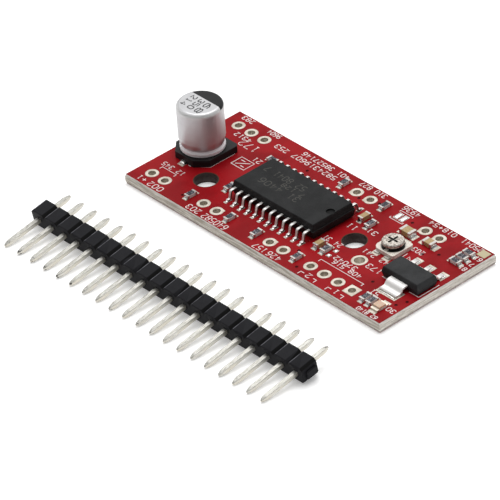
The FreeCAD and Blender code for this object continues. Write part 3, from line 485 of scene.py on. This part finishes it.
def tent_look():
    """Lacquer sunk into a via: the board's red, in shade."""
    look = Look("tented_via", (0.06, 0.002, 0.003), 0.5)
    look.put("Specular IOR Level", 0.05)
    look.put("Base Color", look.mixed(look.noise(0.2), (0.035, 0.001, 0.002), (0.085, 0.002, 0.003)))
    return look


def spare_land_look():
    """Bare lands: bright solder, and a dull tan one in the board's corner."""
    look = Look("spare_land", (0.80, 0.78, 0.74), 0.35, 0.8)
    corner = look.ranged(look.height("X"), 21.9, 22.1)
    bright = look.mixed(look.noise(0.4), (0.66, 0.63, 0.58), (0.84, 0.81, 0.77))
    look.put("Base Color", look.mixed(corner, bright, (0.50, 0.44, 0.27)))
    look.put("Metallic", look.ranged(corner, 0.0, 1.0, 0.8, 0.2))
    look.bump(look.noise(0.5, 3.0), 0.02)
    return look


# How far from the chip's middle line the lacquer still covers its lands.
LACQUERED_REACH = 4.62


def chip_land_look():
    """Tinned lands whose inner ends are under the lacquer."""
    look = Look("chip_land", (0.62, 0.58, 0.52), 0.45, 0.5)
    bare = look.mixed(look.noise(0.3), (0.50, 0.46, 0.41), (0.72, 0.68, 0.62))
    reach = look.maths("ABSOLUTE", look.height("Y"), 0.0)
    covered = look.ranged(reach, LACQUERED_REACH - 0.03, LACQUERED_REACH + 0.03, 1.0, 0.0)
    look.put("Base Color", look.mixed(covered, bare, (0.24, 0.004, 0.007)))
    look.put("Metallic", look.ranged(covered, 0.0, 1.0, 0.5, 0.0))
    look.put("Specular IOR Level", look.ranged(covered, 0.0, 1.0, 0.5, 0.07))
    look.bump(look.noise(0.5, 3.0), 0.02)
    return look


def metal_look(name, colour, roughness=0.35):
    """A plain polished metal, slightly uneven in colour."""
    look = Look(name, colour, roughness, 1.0)
    look.put("Base Color", look.mixed(look.noise(0.6), tuple(c * 0.8 for c in colour), colour))
    look.bump(look.noise(0.15), 0.004)
    return look


def glaze_look():
    """The resistors' dark glass, with pale flecks."""
    look = Look("resistor_glaze", (0.045, 0.05, 0.06), 0.3)
    look.put("Specular IOR Level", 0.25)
    pale = look.ranged(look.noise(0.16, 2.0), 0.56, 0.62)
    look.put("Base Color", look.mixed(pale, (0.030, 0.030, 0.040), (0.34, 0.32, 0.36)))
    look.bump(look.noise(0.2), 0.015)
    return look


LOOKS = {
    "glass_epoxy": laminate_look(),
    "red_solder_mask": lacquer_look(),
    "tinned_copper": tinned_pad_look(),
    "bright_solder": solder_look(),
    "moulding_black": moulding_look(),
    "chip_moulding": moulding_look("chip_moulding", (0.0165, 0.017, 0.0175)),
    "spare_land": spare_land_look(),
    "chip_land": chip_land_look(),
    "tinned_lead": tinned_lead_look(),
    "sheared_lead": sheared_lead_look(),
    "bright_lead": bright_lead_look(),
    "tented_via": tent_look(),
    "bare_copper": metal_look("bare_copper", (0.72, 0.38, 0.22)),
    "silicon": metal_look("silicon", (0.25, 0.26, 0.30), 0.15),
    "can_aluminium": can_look(),
    "base_black": plastic_look("base_black", (0.012, 0.012, 0.013), 0.45, 0.12),
    "bung_rubber": plastic_look("bung_rubber", (0.02, 0.02, 0.02), 0.7),
    "foil_and_paper": ceramic_look("foil_and_paper", (0.62, 0.54, 0.40), 0.7),
    "trimmer_ceramic": ceramic_look("trimmer_ceramic", (0.80, 0.74, 0.66), 0.45),
    "resistive_track": plastic_look("resistive_track", (0.02, 0.018, 0.016), 0.4),
    "trimmer_steel": pressed_steel_look(),
    "alumina": ceramic_look("alumina", (0.78, 0.77, 0.75), 0.5),
    "resistor_glaze": glaze_look(),
    "tan_ceramic": ceramic_look("tan_ceramic", (0.42, 0.29, 0.13), 0.42),
    "led_substrate": ceramic_look("led_substrate", (0.82, 0.78, 0.68), 0.5),
    "led_resin": resin_look(),
    "led_gold": metal_look("led_gold", (0.88, 0.82, 0.71), 0.4),
    "header_black": header_look(),
    "header_pin_metal": pin_look(),
    "white_ink": ink_look("white_ink", (0.86, 0.76, 0.74)),
    "black_ink": ink_look("black_ink", (0.045, 0.045, 0.047), 0.45),
    "engraved_grey": ink_look("engraved_grey", (0.050, 0.048, 0.040), 0.7),
}


# CAD nodes that show a variant of their slot's look.
OWN_LOOKS = {"driver_chip_body": "chip_moulding", "lands_spare": "spare_land",
             "lands_driver_chip": "chip_land"}


def dress_cad_nodes():
    for name, item in nodes.items():
        item.data.materials[0] = LOOKS[OWN_LOOKS.get(name, SLOTS[name])].material


def soften(node, width, segments=2):
    """Rounds a CAD node's hard edges, by modifiers alone."""
    item = nodes[node]
    weld = item.modifiers.new("weld", "WELD")
    weld.merge_threshold = 0.001 * MM
    bevel = item.modifiers.new("round", "BEVEL")
    bevel.width = width * MM
    bevel.segments = segments
    bevel.limit_method = "ANGLE"
    bevel.angle_limit = math.radians(35)
    bevel.harden_normals = False


# ---------------------------------------------------------------- pieces

def piece(name, build, look, body="board", smooth=True):
    """A new mesh piece in millimetres, on a body, with one look."""
    mesh = bpy.data.meshes.new(name)
    work = bmesh.new()
    build(work)
    bmesh.ops.recalc_face_normals(work, faces=work.faces)
    bmesh.ops.scale(work, vec=(MM, MM, MM), verts=work.verts)
    work.to_mesh(mesh)
    work.free()
    made = bpy.data.objects.new(name, mesh)
    bpy.context.scene.collection.objects.link(made)
    mesh.materials.append(LOOKS[look].material)
    for face in mesh.polygons:
        face.use_smooth = smooth
    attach(made, body)
    return made


def closed_grid(work, rows, floor):
    """A closed skin: a grid of points on top, dropped to the floor at its rim."""
    top = [[work.verts.new(p) for p in row] for row in rows]
    deep = [[work.verts.new((p[0], p[1], floor)) for p in row] for row in rows]
    across, along = len(rows), len(rows[0])
    for i in range(across - 1):
        for j in range(along - 1):
            work.faces.new((top[i][j], top[i][j + 1], top[i + 1][j + 1], top[i + 1][j]))
            work.faces.new((deep[i][j], deep[i + 1][j], deep[i + 1][j + 1], deep[i][j + 1]))
    rim = [(i, 0) for i in range(across)] + [(across - 1, j) for j in range(1, along)]
    rim += [(i, along - 1) for i in range(across - 2, -1, -1)] + [(0, j) for j in range(along - 2, 0, -1)]
    for (i, j), (m, n) in zip(rim, rim[1:] + rim[:1]):
        work.faces.new((top[i][j], top[m][n], deep[m][n], deep[i][j]))


def ramp(work, foot, out, half_width, reach, rise, floor, steps=6):
    """A concave solder fillet from a face at foot, running reach along out."""
    side = Vector((-out.y, out.x, 0))
    rows = []
    for i in range(steps + 1):
        s = i / steps
        width = half_width * (1 - 0.35 * s ** 3)
        row = []
        for j in range(steps + 1):
            t = 2 * j / steps - 1
            slope = (1 - s) ** 2 * (1 - 0.5 * abs(t) ** 3)
            spot = foot + out * (reach * s * (1 - 0.12 * t * t)) + side * (width * t)
            row.append((spot.x, spot.y, floor + rise * slope + 0.01))
        rows.append(row)
    closed_grid(work, rows, floor - 0.02)


def mound(work, centre, half_x, half_y, rise, floor, steps=8):
    """A low pillow of solder."""
    rows = []
    for i in range(steps + 1):
        u = 2 * i / steps - 1
        row = []
        for j in range(steps + 1):
            v = 2 * j / steps - 1
            x = u * math.sqrt(1 - 0.35 * v * v)
            y = v * math.sqrt(1 - 0.35 * u * u)
            crown = max(0.0, 1 - x * x) * max(0.0, 1 - y * y)
            row.append((centre.x + x * half_x, centre.y + y * half_y, floor + rise * math.sqrt(crown)))
        rows.append(row)
    closed_grid(work, rows, floor - 0.02)


def chip_ends():
    """Each end cap of the two-ended parts: its box and the way that it faces."""
    ends = []
    for family in ("row_resistor", "stack_resistor", "side_resistor", "small_ceramic_capacitor",
                   "big_ceramic_capacitor", "mid_ceramic_capacitor"):
        bodies = islands(family + "_bodies")
        for low, high in islands(family + "_end_caps"):
            middle = (low + high) / 2
            home = min(bodies, key=lambda box: ((box[0] + box[1]) / 2 - middle).length)
            away = middle - (home[0] + home[1]) / 2
            out = Vector((math.copysign(1, away.x), 0, 0))
            if abs(away.y) > abs(away.x):
                out = Vector((0, math.copysign(1, away.y), 0))
            ends.append((low, high, out))
    return ends


def add_solder():
    """Fillets at the small parts' ends, and low mounds at the leads' toes and on the bare lands."""
    def fillets(work):
        for low, high, out in chip_ends():
            middle = (low + high) / 2
            half = (high - low) / 2
            depth = abs(out.dot(half))
            wide = half.x + half.y - depth
            foot = Vector((middle.x, middle.y, 0)) + out * (depth - 0.02)
            tall = high.z - low.z
            ramp(work, foot, out, half_width=wide * 0.9, reach=0.3, rise=min(0.75 * tall, 0.55),
                 floor=LAND_TOP)
    made = piece("solder_joints", fillets, "bright_solder")
    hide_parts("solder_fillets")

    def feet(work):
        for node, sign in (("driver_chip_leads_front", -1), ("driver_chip_leads_back", 1)):
            for low, high in islands(node):
                x = (low.x + high.x) / 2
                toe = low.y if sign < 0 else high.y
                mound(work, Vector((x, toe + sign * 0.06, 0)), half_x=0.21, half_y=0.2, rise=0.12,
                      floor=LAND_TOP)
    piece("solder_chip_feet", feet, "bright_solder")

    def heels(work):
        for low, high in islands("regulator_pins"):
            mound(work, Vector(((low.x + high.x) / 2, high.y - 0.1, 0)), half_x=0.5, half_y=0.5, rise=0.13,
                  floor=LAND_TOP)
    piece("solder_regulator_pins", heels, "bright_solder")

    def beads(work):
        low, high = span("regulator_tab")
        middle = (low.x + high.x) / 2
        mound(work, Vector((middle, low.y - 0.2, 0)), half_x=(high.x - low.x) / 2 + 0.1, half_y=0.11,
              rise=0.13, floor=LAND_TOP)
        for low, high in islands("capacitor_leads"):
            side = math.copysign(1, low.y + high.y)
            toe = max(abs(low.y), abs(high.y))
            mound(work, Vector(((low.x + high.x) / 2, side * (toe - 0.05), 0)), half_x=0.5, half_y=0.3,
                  rise=0.3, floor=LAND_TOP)
        for low, high in islands("lands_spare")[:2] + islands("solder_jumper_lands"):
            half = (high - low) / 2
            mound(work, (low + high) / 2, half_x=half.x * 0.92, half_y=half.y * 0.92, rise=0.12,
                  floor=LAND_TOP)
    piece("solder_beads", beads, "bright_solder")


# ---------------------------------------------------------------- bent metal

def bent_path(corners, radius, steps=7):
    """A strip's middle line in its own plane: straight runs, with each corner rounded."""
    path = [Vector(corners[0])]
    for before, corner, after in zip(corners, corners[1:], corners[2:]):
        corner = Vector(corner)
        arrive = (corner - Vector(before)).normalized()
        leave = (Vector(after) - corner).normalized()
        reach = radius * math.tan(arrive.angle(leave) / 2)
        start, end = corner - arrive * reach, corner + leave * reach
        for i in range(steps + 1):
            t = i / steps
            path.append(start * (1 - t) ** 2 + corner * (2 * t * (1 - t)) + end * t ** 2)
    return path + [Vector(corners[-1])]


def strip(work, path, gauge, width, put):
    """A flat strip with softened edges, swept along a path.  put places (across, out, up)."""
    edge = gauge * 0.16
    half, thick = width / 2, gauge / 2
    quarter = [(half, 0), (half, thick - edge), (half - edge, thick), (half - 2.5 * edge, thick)]
    outline = quarter + [(-a, b) for a, b in reversed(quarter)]
    outline += [(-a, -b) for a, b in quarter[1:]] + [(a, -b) for a, b in reversed(quarter[1:])]
    rings = []
    for i, spot in enumerate(path):
        ahead = path[min(i + 1, len(path) - 1)] - path[max(i - 1, 0)]
        normal = Vector((-ahead.y, ahead.x)).normalized()
        places = [(a, *(spot + normal * b)) for a, b in outline]
        rings.append([work.verts.new(put(*place)) for place in places])
    count = len(outline)
    for low, high in zip(rings, rings[1:]):
        for j in range(count):
            k = (j + 1) % count
            work.faces.new((low[j], low[k], high[k], high[j]))
    work.faces.new(rings[0])
    work.faces.new(rings[-1])


def gull_wings(name, node, side, bends, radius, gauge, look="sheared_lead"):
    """Smooth gull-wing leads in place of a CAD node's.

    bends gives the part's middle line as home, and the reach of the knee and the ankle from it.
    """
    def build(work):
        for low, high in islands(node):
            middle, width = (low.x + high.x) / 2, high.x - low.x
            root, toe = sorted((abs(low.y - bends["home"]), abs(high.y - bends["home"])))
            if bends.get("inner") is not None:
                root = bends["inner"]
            shoulder, foot = high.z - gauge / 2, low.z + gauge / 2
            corners = [(root, shoulder), (bends["knee"], shoulder), (bends["ankle"], foot), (toe, foot)]

            def put(across, out, up, x=middle):
                return x + across, bends["home"] + side * out, up
            strip(work, bent_path(corners, radius), gauge, width, put)
    made = piece(name, build, look)
    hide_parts(node)


# The loose strip's pins: half their length and width, a point's length, and its tip's share of the width.
PIN_HALF_LENGTH = 5.8
PIN_HALF_WIDTH = 0.32
PIN_POINT = 1.15
PIN_TIP = 0.28


def pin_ring(size):
    """A square section with eased corners, as places across and up."""
    ease = size * 0.86
    quarter = [(size, -ease), (size, ease)]
    ring = []
    for _ in range(4):
        ring += quarter
        quarter = [(-b, a) for a, b in quarter]
    return ring


def add_pins():
    """The strip's square pins, with eased edges and points that draw in to a blunt tip."""
    turn = Matrix.Rotation(STRIP_TURN, 3, "Z") @ Matrix.Rotation(STRIP_TILT, 3, "X")
    steps = 6
    profile = []
    for i in range(steps + 1):
        s = i / steps
        width = PIN_HALF_WIDTH * (PIN_TIP + (1 - PIN_TIP) * math.sin(math.pi / 2 * s))
        profile.append((PIN_POINT * s ** 1.3, width))

    def build(work):
        for low, high in islands("header_pins"):
            middle = (low + high) / 2
            stations = [(-PIN_HALF_LENGTH + along, width) for along, width in profile]
            stations += [(PIN_HALF_LENGTH - along, width) for along, width in reversed(profile)]
            rings = []
            for along, width in stations:
                spots = [middle + turn @ Vector((a, along, b)) for a, b in pin_ring(width)]
                rings.append([work.verts.new(spot) for spot in spots])
            for near, far in zip(rings, rings[1:]):
                for j in range(len(near)):
                    k = (j + 1) % len(near)
                    work.faces.new((near[j], near[k], far[k], far[j]))
            work.faces.new(rings[0])
            work.faces.new(rings[-1])
    metal = "header_pin_metal"
    made = piece("header_pins_pointed", build, metal, body="header_strip")
    made.data.set_sharp_from_angle(angle=math.radians(30))
    bevel = made.modifiers.new("ends", "BEVEL")
    bevel.width = 0.03 * MM
    bevel.segments = 2
    bevel.limit_method = "ANGLE"
    bevel.angle_limit = math.radians(40)
    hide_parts("header_pins")


# The leads' sheet thickness and inside bends.
CHIP_GAUGE = 0.25
REGULATOR_GAUGE = 0.28
LEAD_BEND = 0.3
TAB_BEND = 0.6

# The regulator's middle line along Y.
REGULATOR_HOME = -1.27


def add_leads():
    chip = {"home": 0.0, "knee": 4.51, "ankle": 4.76}
    gull_wings("chip_leads_front_smooth", "driver_chip_leads_front", -1, chip, LEAD_BEND, CHIP_GAUGE)
    gull_wings("chip_leads_back_smooth", "driver_chip_leads_back", 1, chip, LEAD_BEND, CHIP_GAUGE)
    pins = {"home": REGULATOR_HOME, "knee": 2.1, "ankle": 2.62}
    gull_wings("regulator_pins_smooth", "regulator_pins", 1, pins, LEAD_BEND, REGULATOR_GAUGE, "bright_lead")
    tab = {"home": REGULATOR_HOME, "knee": 2.43, "ankle": 2.93, "inner": -0.9}
    gull_wings("regulator_tab_smooth", "regulator_tab", -1, tab, TAB_BEND, REGULATOR_GAUGE, "bright_lead")


# ---------------------------------------------------------------- printed marks

# Strokes of each character on a grid 4 wide and 6 high.
STROKES = {
    "0": [((1, 0), (3, 0), (4, 1), (4, 5), (3, 6), (1, 6), (0, 5), (0, 1), (1, 0))],
    "1": [((1, 5), (2, 6), (2, 0)), ((1, 0), (3, 0))],
    "2": [((0, 5), (1, 6), (3, 6), (4, 5), (4, 4), (0, 0), (4, 0))],
    "3": [((0, 5), (1, 6), (3, 6), (4, 5), (4, 4), (3, 3), (4, 2), (4, 1), (3, 0), (1, 0), (0, 1)),
          ((2, 3), (3, 3))],
    "4": [((3, 0), (3, 6), (0, 2), (4, 2))],
    "5": [((4, 6), (0, 6), (0, 3.5), (3, 3.5), (4, 2.5), (4, 1), (3, 0), (0, 0))],
    "6": [((4, 6), (2, 6), (0, 3.5), (0, 1), (1, 0), (3, 0), (4, 1), (4, 2.5), (3, 3.5), (0, 3.5))],
    "7": [((0, 6), (4, 6), (4, 5), (1, 0))],
    "8": [((1, 3), (0, 2), (0, 1), (1, 0), (3, 0), (4, 1), (4, 2), (3, 3), (1, 3), (0, 4), (0, 5), (1, 6),
           (3, 6), (4, 5), (4, 4), (3, 3))],
    "9": [((0, 0), (2, 0), (4, 2.5), (4, 5), (3, 6), (1, 6), (0, 5), (0, 3.5), (1, 2.5), (4, 2.5))],
    "+": [((2, 1), (2, 5)), ((0, 3), (4, 3))],
}
GLYPH_WIDTH = 4
GLYPH_GAP = 2
GLYPH_HEIGHT = 6

# Line widths, the ink's thickness, and the height at which the board's print lies.
LABEL_LINE = 0.14
OUTLINE_LINE = 0.15
ENGRAVED_LINE = 0.15
CAN_LINE = 0.19
INK_THICKNESS = 0.02
INK_HEIGHT = BOARD_TOP + 0.004


def strokes_piece(name, lines, width, height, look="white_ink"):
    """Printed lines: flat ribbons with round ends, in millimetres, at one height."""
    curve = bpy.data.curves.new(name, "CURVE")
    curve.dimensions = "3D"
    curve.bevel_depth = width / 2 * MM
    curve.bevel_resolution = 2
    curve.use_fill_caps = True
    for line in lines:
        spline = curve.splines.new("POLY")
        spline.points.add(len(line) - 1)
        for point, (x, y) in zip(spline.points, line):
            point.co = (x * MM, y * MM, 0, 1)
    curve.materials.append(LOOKS[look].material)
    made = bpy.data.objects.new(name, curve)
    bpy.context.scene.collection.objects.link(made)
    flat = Matrix.Diagonal((1, 1, INK_THICKNESS / width, 1))
    made.matrix_world = Matrix.Translation((0, 0, height * MM)) @ flat
    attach(made, "board")


def label_lines(text, x_range, y_range, turn=180):
    """The strokes of a label fitted to a box.

    Turned by 180 degrees it reads from the far side of the board, and by -90 it runs along Y.
    """
    columns = len(text) * (GLYPH_WIDTH + GLYPH_GAP) - GLYPH_GAP
    centre = Vector(((x_range[0] + x_range[1]) / 2, (y_range[0] + y_range[1]) / 2))
    wide, tall = x_range[1] - x_range[0], y_range[1] - y_range[0]
    if turn == -90:
        wide, tall = tall, wide
    spin = Matrix.Rotation(math.radians(turn), 2)
    lines = []
    for index, glyph in enumerate(text):
        for stroke in STROKES.get(glyph, ()):
            line = []
            for x, y in stroke:
                spot = Vector((((index * (GLYPH_WIDTH + GLYPH_GAP) + x) / columns - 0.5) * wide,
                               (y / GLYPH_HEIGHT - 0.5) * tall))
                line.append(tuple(centre + spin @ spot))
            lines.append(line)
    return lines


# Labels: text, then the box that it fills, x then y.
LABELS = {
    "supply_name": ("12 345", (-22.3, -18.3), (-5.4, -4.65)),
    "supply_plus": ("+1", (-22.4, -20.9), (-9.7, -8.9)),
    "supply_minus": ("002", (-20.2, -17.7), (-9.8, -8.9)),
    "select_left": ("203", (-12.6, -10.3), (-9.8, -8.9)),
    "select_right": ("640582", (-9.5, -5.1), (-9.9, -8.9)),
    "control_left": ("157", (0.2, 2.3), (-9.8, -8.9)),
    "control_right": ("426", (2.8, 5.0), (-9.8, -8.9)),
    "row_part_left": ("21", (-14.3, -12.9), (3.3, 4.1)),
    "link_small": ("4312", (-20.5, -17.6), (5.75, 6.5)),
    "link_large": ("172", (-18.5, -15.4), (4.65, 5.9)),
    "back_left_a": ("283", (-22.6, -20.6), (9.05, 9.8)),
    "back_left_b": ("9604", (-17.6, -15.4), (9.05, 9.8)),
    "long_name_near": ("5824319607 253", (-14.4, -3.0), (7.4, 8.2)),
    "long_name_far": ("401 38527146", (-10.4, -1.8), (8.65, 9.4)),
    "mode_pins": ("310 827", (0.2, 4.8), (9.0, 9.8)),
    "jumper_name": ("4936", (8.2, 11.0), (9.0, 9.8)),
    "logic_plus": ("+54", (13.0, 15.2), (9.05, 9.8)),
    "logic_minus": ("018", (15.5, 17.6), (9.05, 9.8)),
    "corner_name": ("25041", (18.9, 22.4), (9.0, 9.8)),
    "part_31": ("31", (8.4, 10.0), (2.4, 3.2)),
    "part_11": ("11", (5.7, 7.2), (1.4, 2.3)),
    "part_44": ("24 31", (5.4, 8.6), (-2.4, -1.6)),
    "stack_top": ("61", (22.75, 23.75), (7.5, 8.2)),
    "stack_middle": ("71", (22.75, 23.75), (6.1, 6.8)),
    "stack_low": ("81", (22.75, 23.75), (4.8, 5.5)),
    "lamp_part": ("51", (18.3, 19.6), (-6.4, -5.6)),
    "corner_part": ("30", (22.5, 23.75), (-7.6, -6.85)),
    "lamp_name": ("62 8140", (19.6, 23.0), (-9.9, -9.3)),
    "adjust_name": ("241", (11.2, 13.4), (-1.0, -0.25)),
    "adjust_part": ("42", (14.4, 15.6), (-1.0, -0.25)),
    "probe_name": ("173", (14.0, 16.4), (-3.0, -2.1)),
    "motor_name_near": ("408 516", (10.3, 15.2), (-5.3, -4.6)),
    "motor_name_far": ("37042", (9.7, 13.6), (-4.5, -3.8)),
    "coil_first": ("2", (9.9, 10.6), (-9.6, -8.8)),
    "coil_second": ("1", (14.9, 15.6), (-9.6, -8.8)),
    "trimmer_value": ("203", (15.6, 17.4), (3.5, 4.3)),
}


def printed_lines():
    """The plain printed outlines and brackets, each a list of points."""
    left, right = column(0), column(1)
    coil_a, coil_b = column(12), column(15)
    return {
        "supply_bracket": [((left - 0.1, -6.2), (left - 0.1, -5.7), (right + 0.1, -5.7),
                            (right + 0.1, -6.2))],
        "motor_bracket": [((coil_a - 0.1, -6.2), (coil_a - 0.1, -5.7), (coil_b + 0.1, -5.7),
                           (coil_b + 0.1, -6.2))],
        "capacitor_outline": [((-17.0, 2.8), (-17.0, -1.5), (-18.4, -2.75)), ((-19.0, -3.1), (-19.5, -3.1))],
        "regulator_outline": [((23.66, -2.9), (23.66, 0.6)), ((23.66, -2.95), (21.9, -2.95)),
                              ((18.3, -2.95), (17.1, -2.95))],
        "jumper_brackets": [((8.4, 6.9), (8.4, 6.6), (10.7, 6.6), (10.7, 6.9)),
                            ((8.4, 8.4), (8.4, 8.65), (10.7, 8.65), (10.7, 8.4))],
        "plain_box": [((-15.75, 1.0), (-15.75, 2.95), (-13.3, 2.95), (-13.3, 1.0), (-15.75, 1.0))],
        "plain_bars": [((-15.35, 1.35), (-13.7, 2.6)), ((-15.3, 2.45), (-14.55, 2.45)),
                       ((-14.4, 1.45), (-13.75, 1.45))],
        "coil_ticks": [((8.8, -9.8), (8.8, -9.2), (9.4, -9.2)), ((11.1, -9.2), (11.7, -9.2), (11.7, -9.8)),
                       ((13.8, -9.8), (13.8, -9.2), (14.4, -9.2)),
                       ((16.1, -9.2), (16.7, -9.2), (16.7, -9.8))],
        "trimmer_marks": [((15.9, 0.3), (15.9, 2.6)), ((16.6, 0.9), (16.6, 2.3), (17.4, 1.6), (16.6, 0.9))],
    }


# Tracks leave these pads at a corner of 45 degrees: column, row side, then the way out along X and Y.
TEARDROPS = ((5, -1, 1, 1), (9, -1, 1, 1), (9, 1, -1, -1), (10, 1, -1, -1), (14, 1, -1, -1), (15, 1, -1, -1))

# How far such a corner stands from the pad's middle, in pad radii.
TEARDROP_REACH = 1.26

# A lacquered-over via from its rim inwards: distance from its axis, and height over the board's top.
TENT_PROFILE = ((0.24, -0.01), (0.23, 0.006), (0.17, 0.0), (0.1, -0.02))
TENT_SIDES = 16


def add_board_details():
    """The pads' teardrop corners, and the lacquer sunk into each via."""
    pad_low, pad_high = span("barrel_square_pad")
    radius = (pad_high.x - pad_low.x) / 2

    def drops(work):
        for k, side, along, across in TEARDROPS:
            middle = Vector((column(k), side * ROW))
            out = Vector((along, across)).normalized()
            flank = Vector((-out.y, out.x))
            rim = [middle + out * radius * TEARDROP_REACH]
            for i in range(7):
                angle = math.radians(33 - 11 * i)
                rim.append(middle + (out * math.cos(angle) + flank * math.sin(angle)) * (radius - 0.03))
            low = [work.verts.new((p.x, p.y, BOARD_TOP - 0.01)) for p in rim]
            top = [work.verts.new((p.x, p.y, LAND_TOP - 0.004)) for p in rim]
            work.faces.new(low)
            work.faces.new(top)
            for i in range(len(rim)):
                j = (i + 1) % len(rim)
                work.faces.new((low[i], low[j], top[j], top[i]))
    piece("pad_teardrops", drops, "tinned_copper", smooth=False)

    def tents(work):
        for low, high in islands("via_barrels"):
            middle = (low + high) / 2
            rings = []
            for reach, up in TENT_PROFILE:
                ring = []
                for i in range(TENT_SIDES):
                    angle = math.tau * i / TENT_SIDES
                    spot = (middle.x + reach * math.cos(angle), middle.y + reach * math.sin(angle))
                    ring.append(work.verts.new((*spot, BOARD_TOP + up)))
                rings.append(ring)
            for inner, outer in zip(rings, rings[1:]):
                for i in range(TENT_SIDES):
                    j = (i + 1) % TENT_SIDES
                    work.faces.new((inner[i], inner[j], outer[j], outer[i]))
            work.faces.new(rings[0])
            work.faces.new(rings[-1])
    piece("via_tents", tents, "tented_via")


def add_print():
    """The board's white print: labels, then plain outlines."""
    for name, (text, x_range, y_range) in LABELS.items():
        strokes_piece("print_" + name, label_lines(text, x_range, y_range), LABEL_LINE, INK_HEIGHT)
    for name, lines in printed_lines().items():
        strokes_piece("print_" + name, lines, OUTLINE_LINE, INK_HEIGHT)


def add_chip_marks():
    """Three rows of faint engraved figures, the small one between the others."""
    top = span("driver_chip_body")[1].z
    rows = {"far": ("52 8041 7", (-8.9, -1.6), (0.75, 1.75)), "near": ("31 4406", (-7.6, -0.4), (-1.5, -0.5)),
            "small": ("7 128", (-4.6, -0.6), (-0.25, 0.45))}
    for name, (text, x_range, y_range) in rows.items():
        lines = label_lines(text, x_range, y_range)
        strokes_piece("engraved_" + name, lines, ENGRAVED_LINE, top - 0.004, "engraved_grey")


def add_can_print():
    """Three rows of figures on the can's top, which read along the board's short side."""
    low, high = span("capacitor_can")
    centre = (low + high) / 2
    for name, text, x in (("a", "68", 1.35), ("b", "350", 0.0), ("c", "214", -1.4)):
        x_range = (centre.x + x - 0.42, centre.x + x + 0.42)
        lines = label_lines(text, x_range, (centre.y - 1.85, centre.y + 0.65), -90)
        strokes_piece("print_can_" + name, lines, CAN_LINE, high.z + 0.002, "black_ink")


# ---------------------------------------------------------------- surroundings

# The camera, in metres, as it stood for the photo, with a 36 mm wide sensor.
CAMERA_PLACE = Vector((0.33028, -0.28440, 0.30433))
CAMERA_AIM = Vector((-0.000951, -0.009141, 0.0))
CAMERA_ROLL = math.radians(-4.1944)
LENS = 297.8


def add_camera():
    data = bpy.data.cameras.new("camera")
    data.lens = LENS
    data.sensor_width = 36.0
    data.clip_start = 0.01
    data.clip_end = 20.0
    made = bpy.data.objects.new("camera", data)
    bpy.context.scene.collection.objects.link(made)
    look = (CAMERA_AIM - CAMERA_PLACE).to_track_quat("-Z", "Y").to_matrix().to_4x4()
    made.matrix_world = Matrix.Translation(CAMERA_PLACE) @ look @ Matrix.Rotation(CAMERA_ROLL, 4, "Z")
    bpy.context.scene.camera = made


# The floor's half size, and how far it lies under the part, so that no two faces coincide.
FLOOR_HALF = 1500
FLOOR_DROP = 0.02


def add_floor():
    """A pale floor that can be looked through from below."""
    look = Look("floor_white", (0.94, 0.94, 0.94), 0.9)
    mesh = bpy.data.meshes.new("floor")
    work = bmesh.new()
    bmesh.ops.create_grid(work, x_segments=1, y_segments=1, size=FLOOR_HALF)
    bmesh.ops.translate(work, vec=(0, 0, -FLOOR_DROP), verts=work.verts)
    bmesh.ops.scale(work, vec=(MM, MM, MM), verts=work.verts)
    work.to_mesh(mesh)
    work.free()
    made = bpy.data.objects.new("floor", mesh)
    bpy.context.scene.collection.objects.link(made)
    mesh.materials.append(look.material)
    look.put("Specular IOR Level", 0.1)
    look.put("Emission Color", (1.0, 1.0, 1.0, 1))
    look.put("Emission Strength", 0.25)
    surface = look.node("ShaderNodeMixShader")
    look.feed(surface.inputs[0], look.node("ShaderNodeNewGeometry").outputs["Backfacing"])
    look.feed(surface.inputs[1], look.shader.outputs[0])
    look.feed(surface.inputs[2], look.node("ShaderNodeBsdfTransparent").outputs[0])
    look.feed(look.tree.nodes["Material Output"].inputs["Surface"], surface.outputs[0])


# Where the room is brightest, and its strength there and on the far side.
SKY_BRIGHTEST = Vector((-0.42, 0.35, 0.84))
SKY_DARK = 0.12
SKY_BRIGHT = 0.95


def add_sky():
    """A soft room: brightest high up behind the board, dark behind the camera."""
    world = bpy.data.worlds.new("studio")
    bpy.context.scene.world = world
    world.use_nodes = True
    tree = world.node_tree
    where = tree.nodes.new("ShaderNodeTexCoord")
    towards = tree.nodes.new("ShaderNodeVectorMath")
    towards.operation = "DOT_PRODUCT"
    towards.inputs[1].default_value = SKY_BRIGHTEST
    tree.links.new(where.outputs["Generated"], towards.inputs[0])
    glow = tree.nodes.new("ShaderNodeMapRange")
    glow.interpolation_type = "SMOOTHSTEP"
    for key, number in (("From Min", -0.1), ("From Max", 1.0), ("To Min", SKY_DARK), ("To Max", SKY_BRIGHT)):
        glow.inputs[key].default_value = number
    tree.links.new(towards.outputs["Value"], glow.inputs["Value"])
    tree.links.new(glow.outputs["Result"], tree.nodes["Background"].inputs["Strength"])
    tree.nodes["Background"].inputs["Color"].default_value = (1.0, 1.0, 1.0, 1)


def add_lamp(name, place, size, power):
    """A square lamp aimed at the origin; its place and size are in metres."""
    data = bpy.data.lights.new(name, "AREA")
    data.shape = "SQUARE"
    data.size = size
    data.energy = power
    made = bpy.data.objects.new(name, data)
    bpy.context.scene.collection.objects.link(made)
    made.location = place
    made.rotation_mode = "QUATERNION"
    made.rotation_quaternion = (-Vector(place)).to_track_quat("-Z", "Y")


def add_surroundings():
    add_camera()
    add_floor()
    add_sky()
    add_lamp("softbox_high", (-0.12, 0.16, 0.6), 0.45, 2.2)
    bpy.context.scene.view_settings.view_transform = "Standard"


add_surroundings()
dress_cad_nodes()
soften("header_housing", 0.1)
soften("driver_chip_body", 0.05)
soften("regulator_body", 0.12)
soften("trimmer_base", 0.05)
soften("capacitor_base", 0.08)
add_solder()
add_leads()
add_pins()
add_board_details()
add_print()
add_chip_marks()
add_can_print()
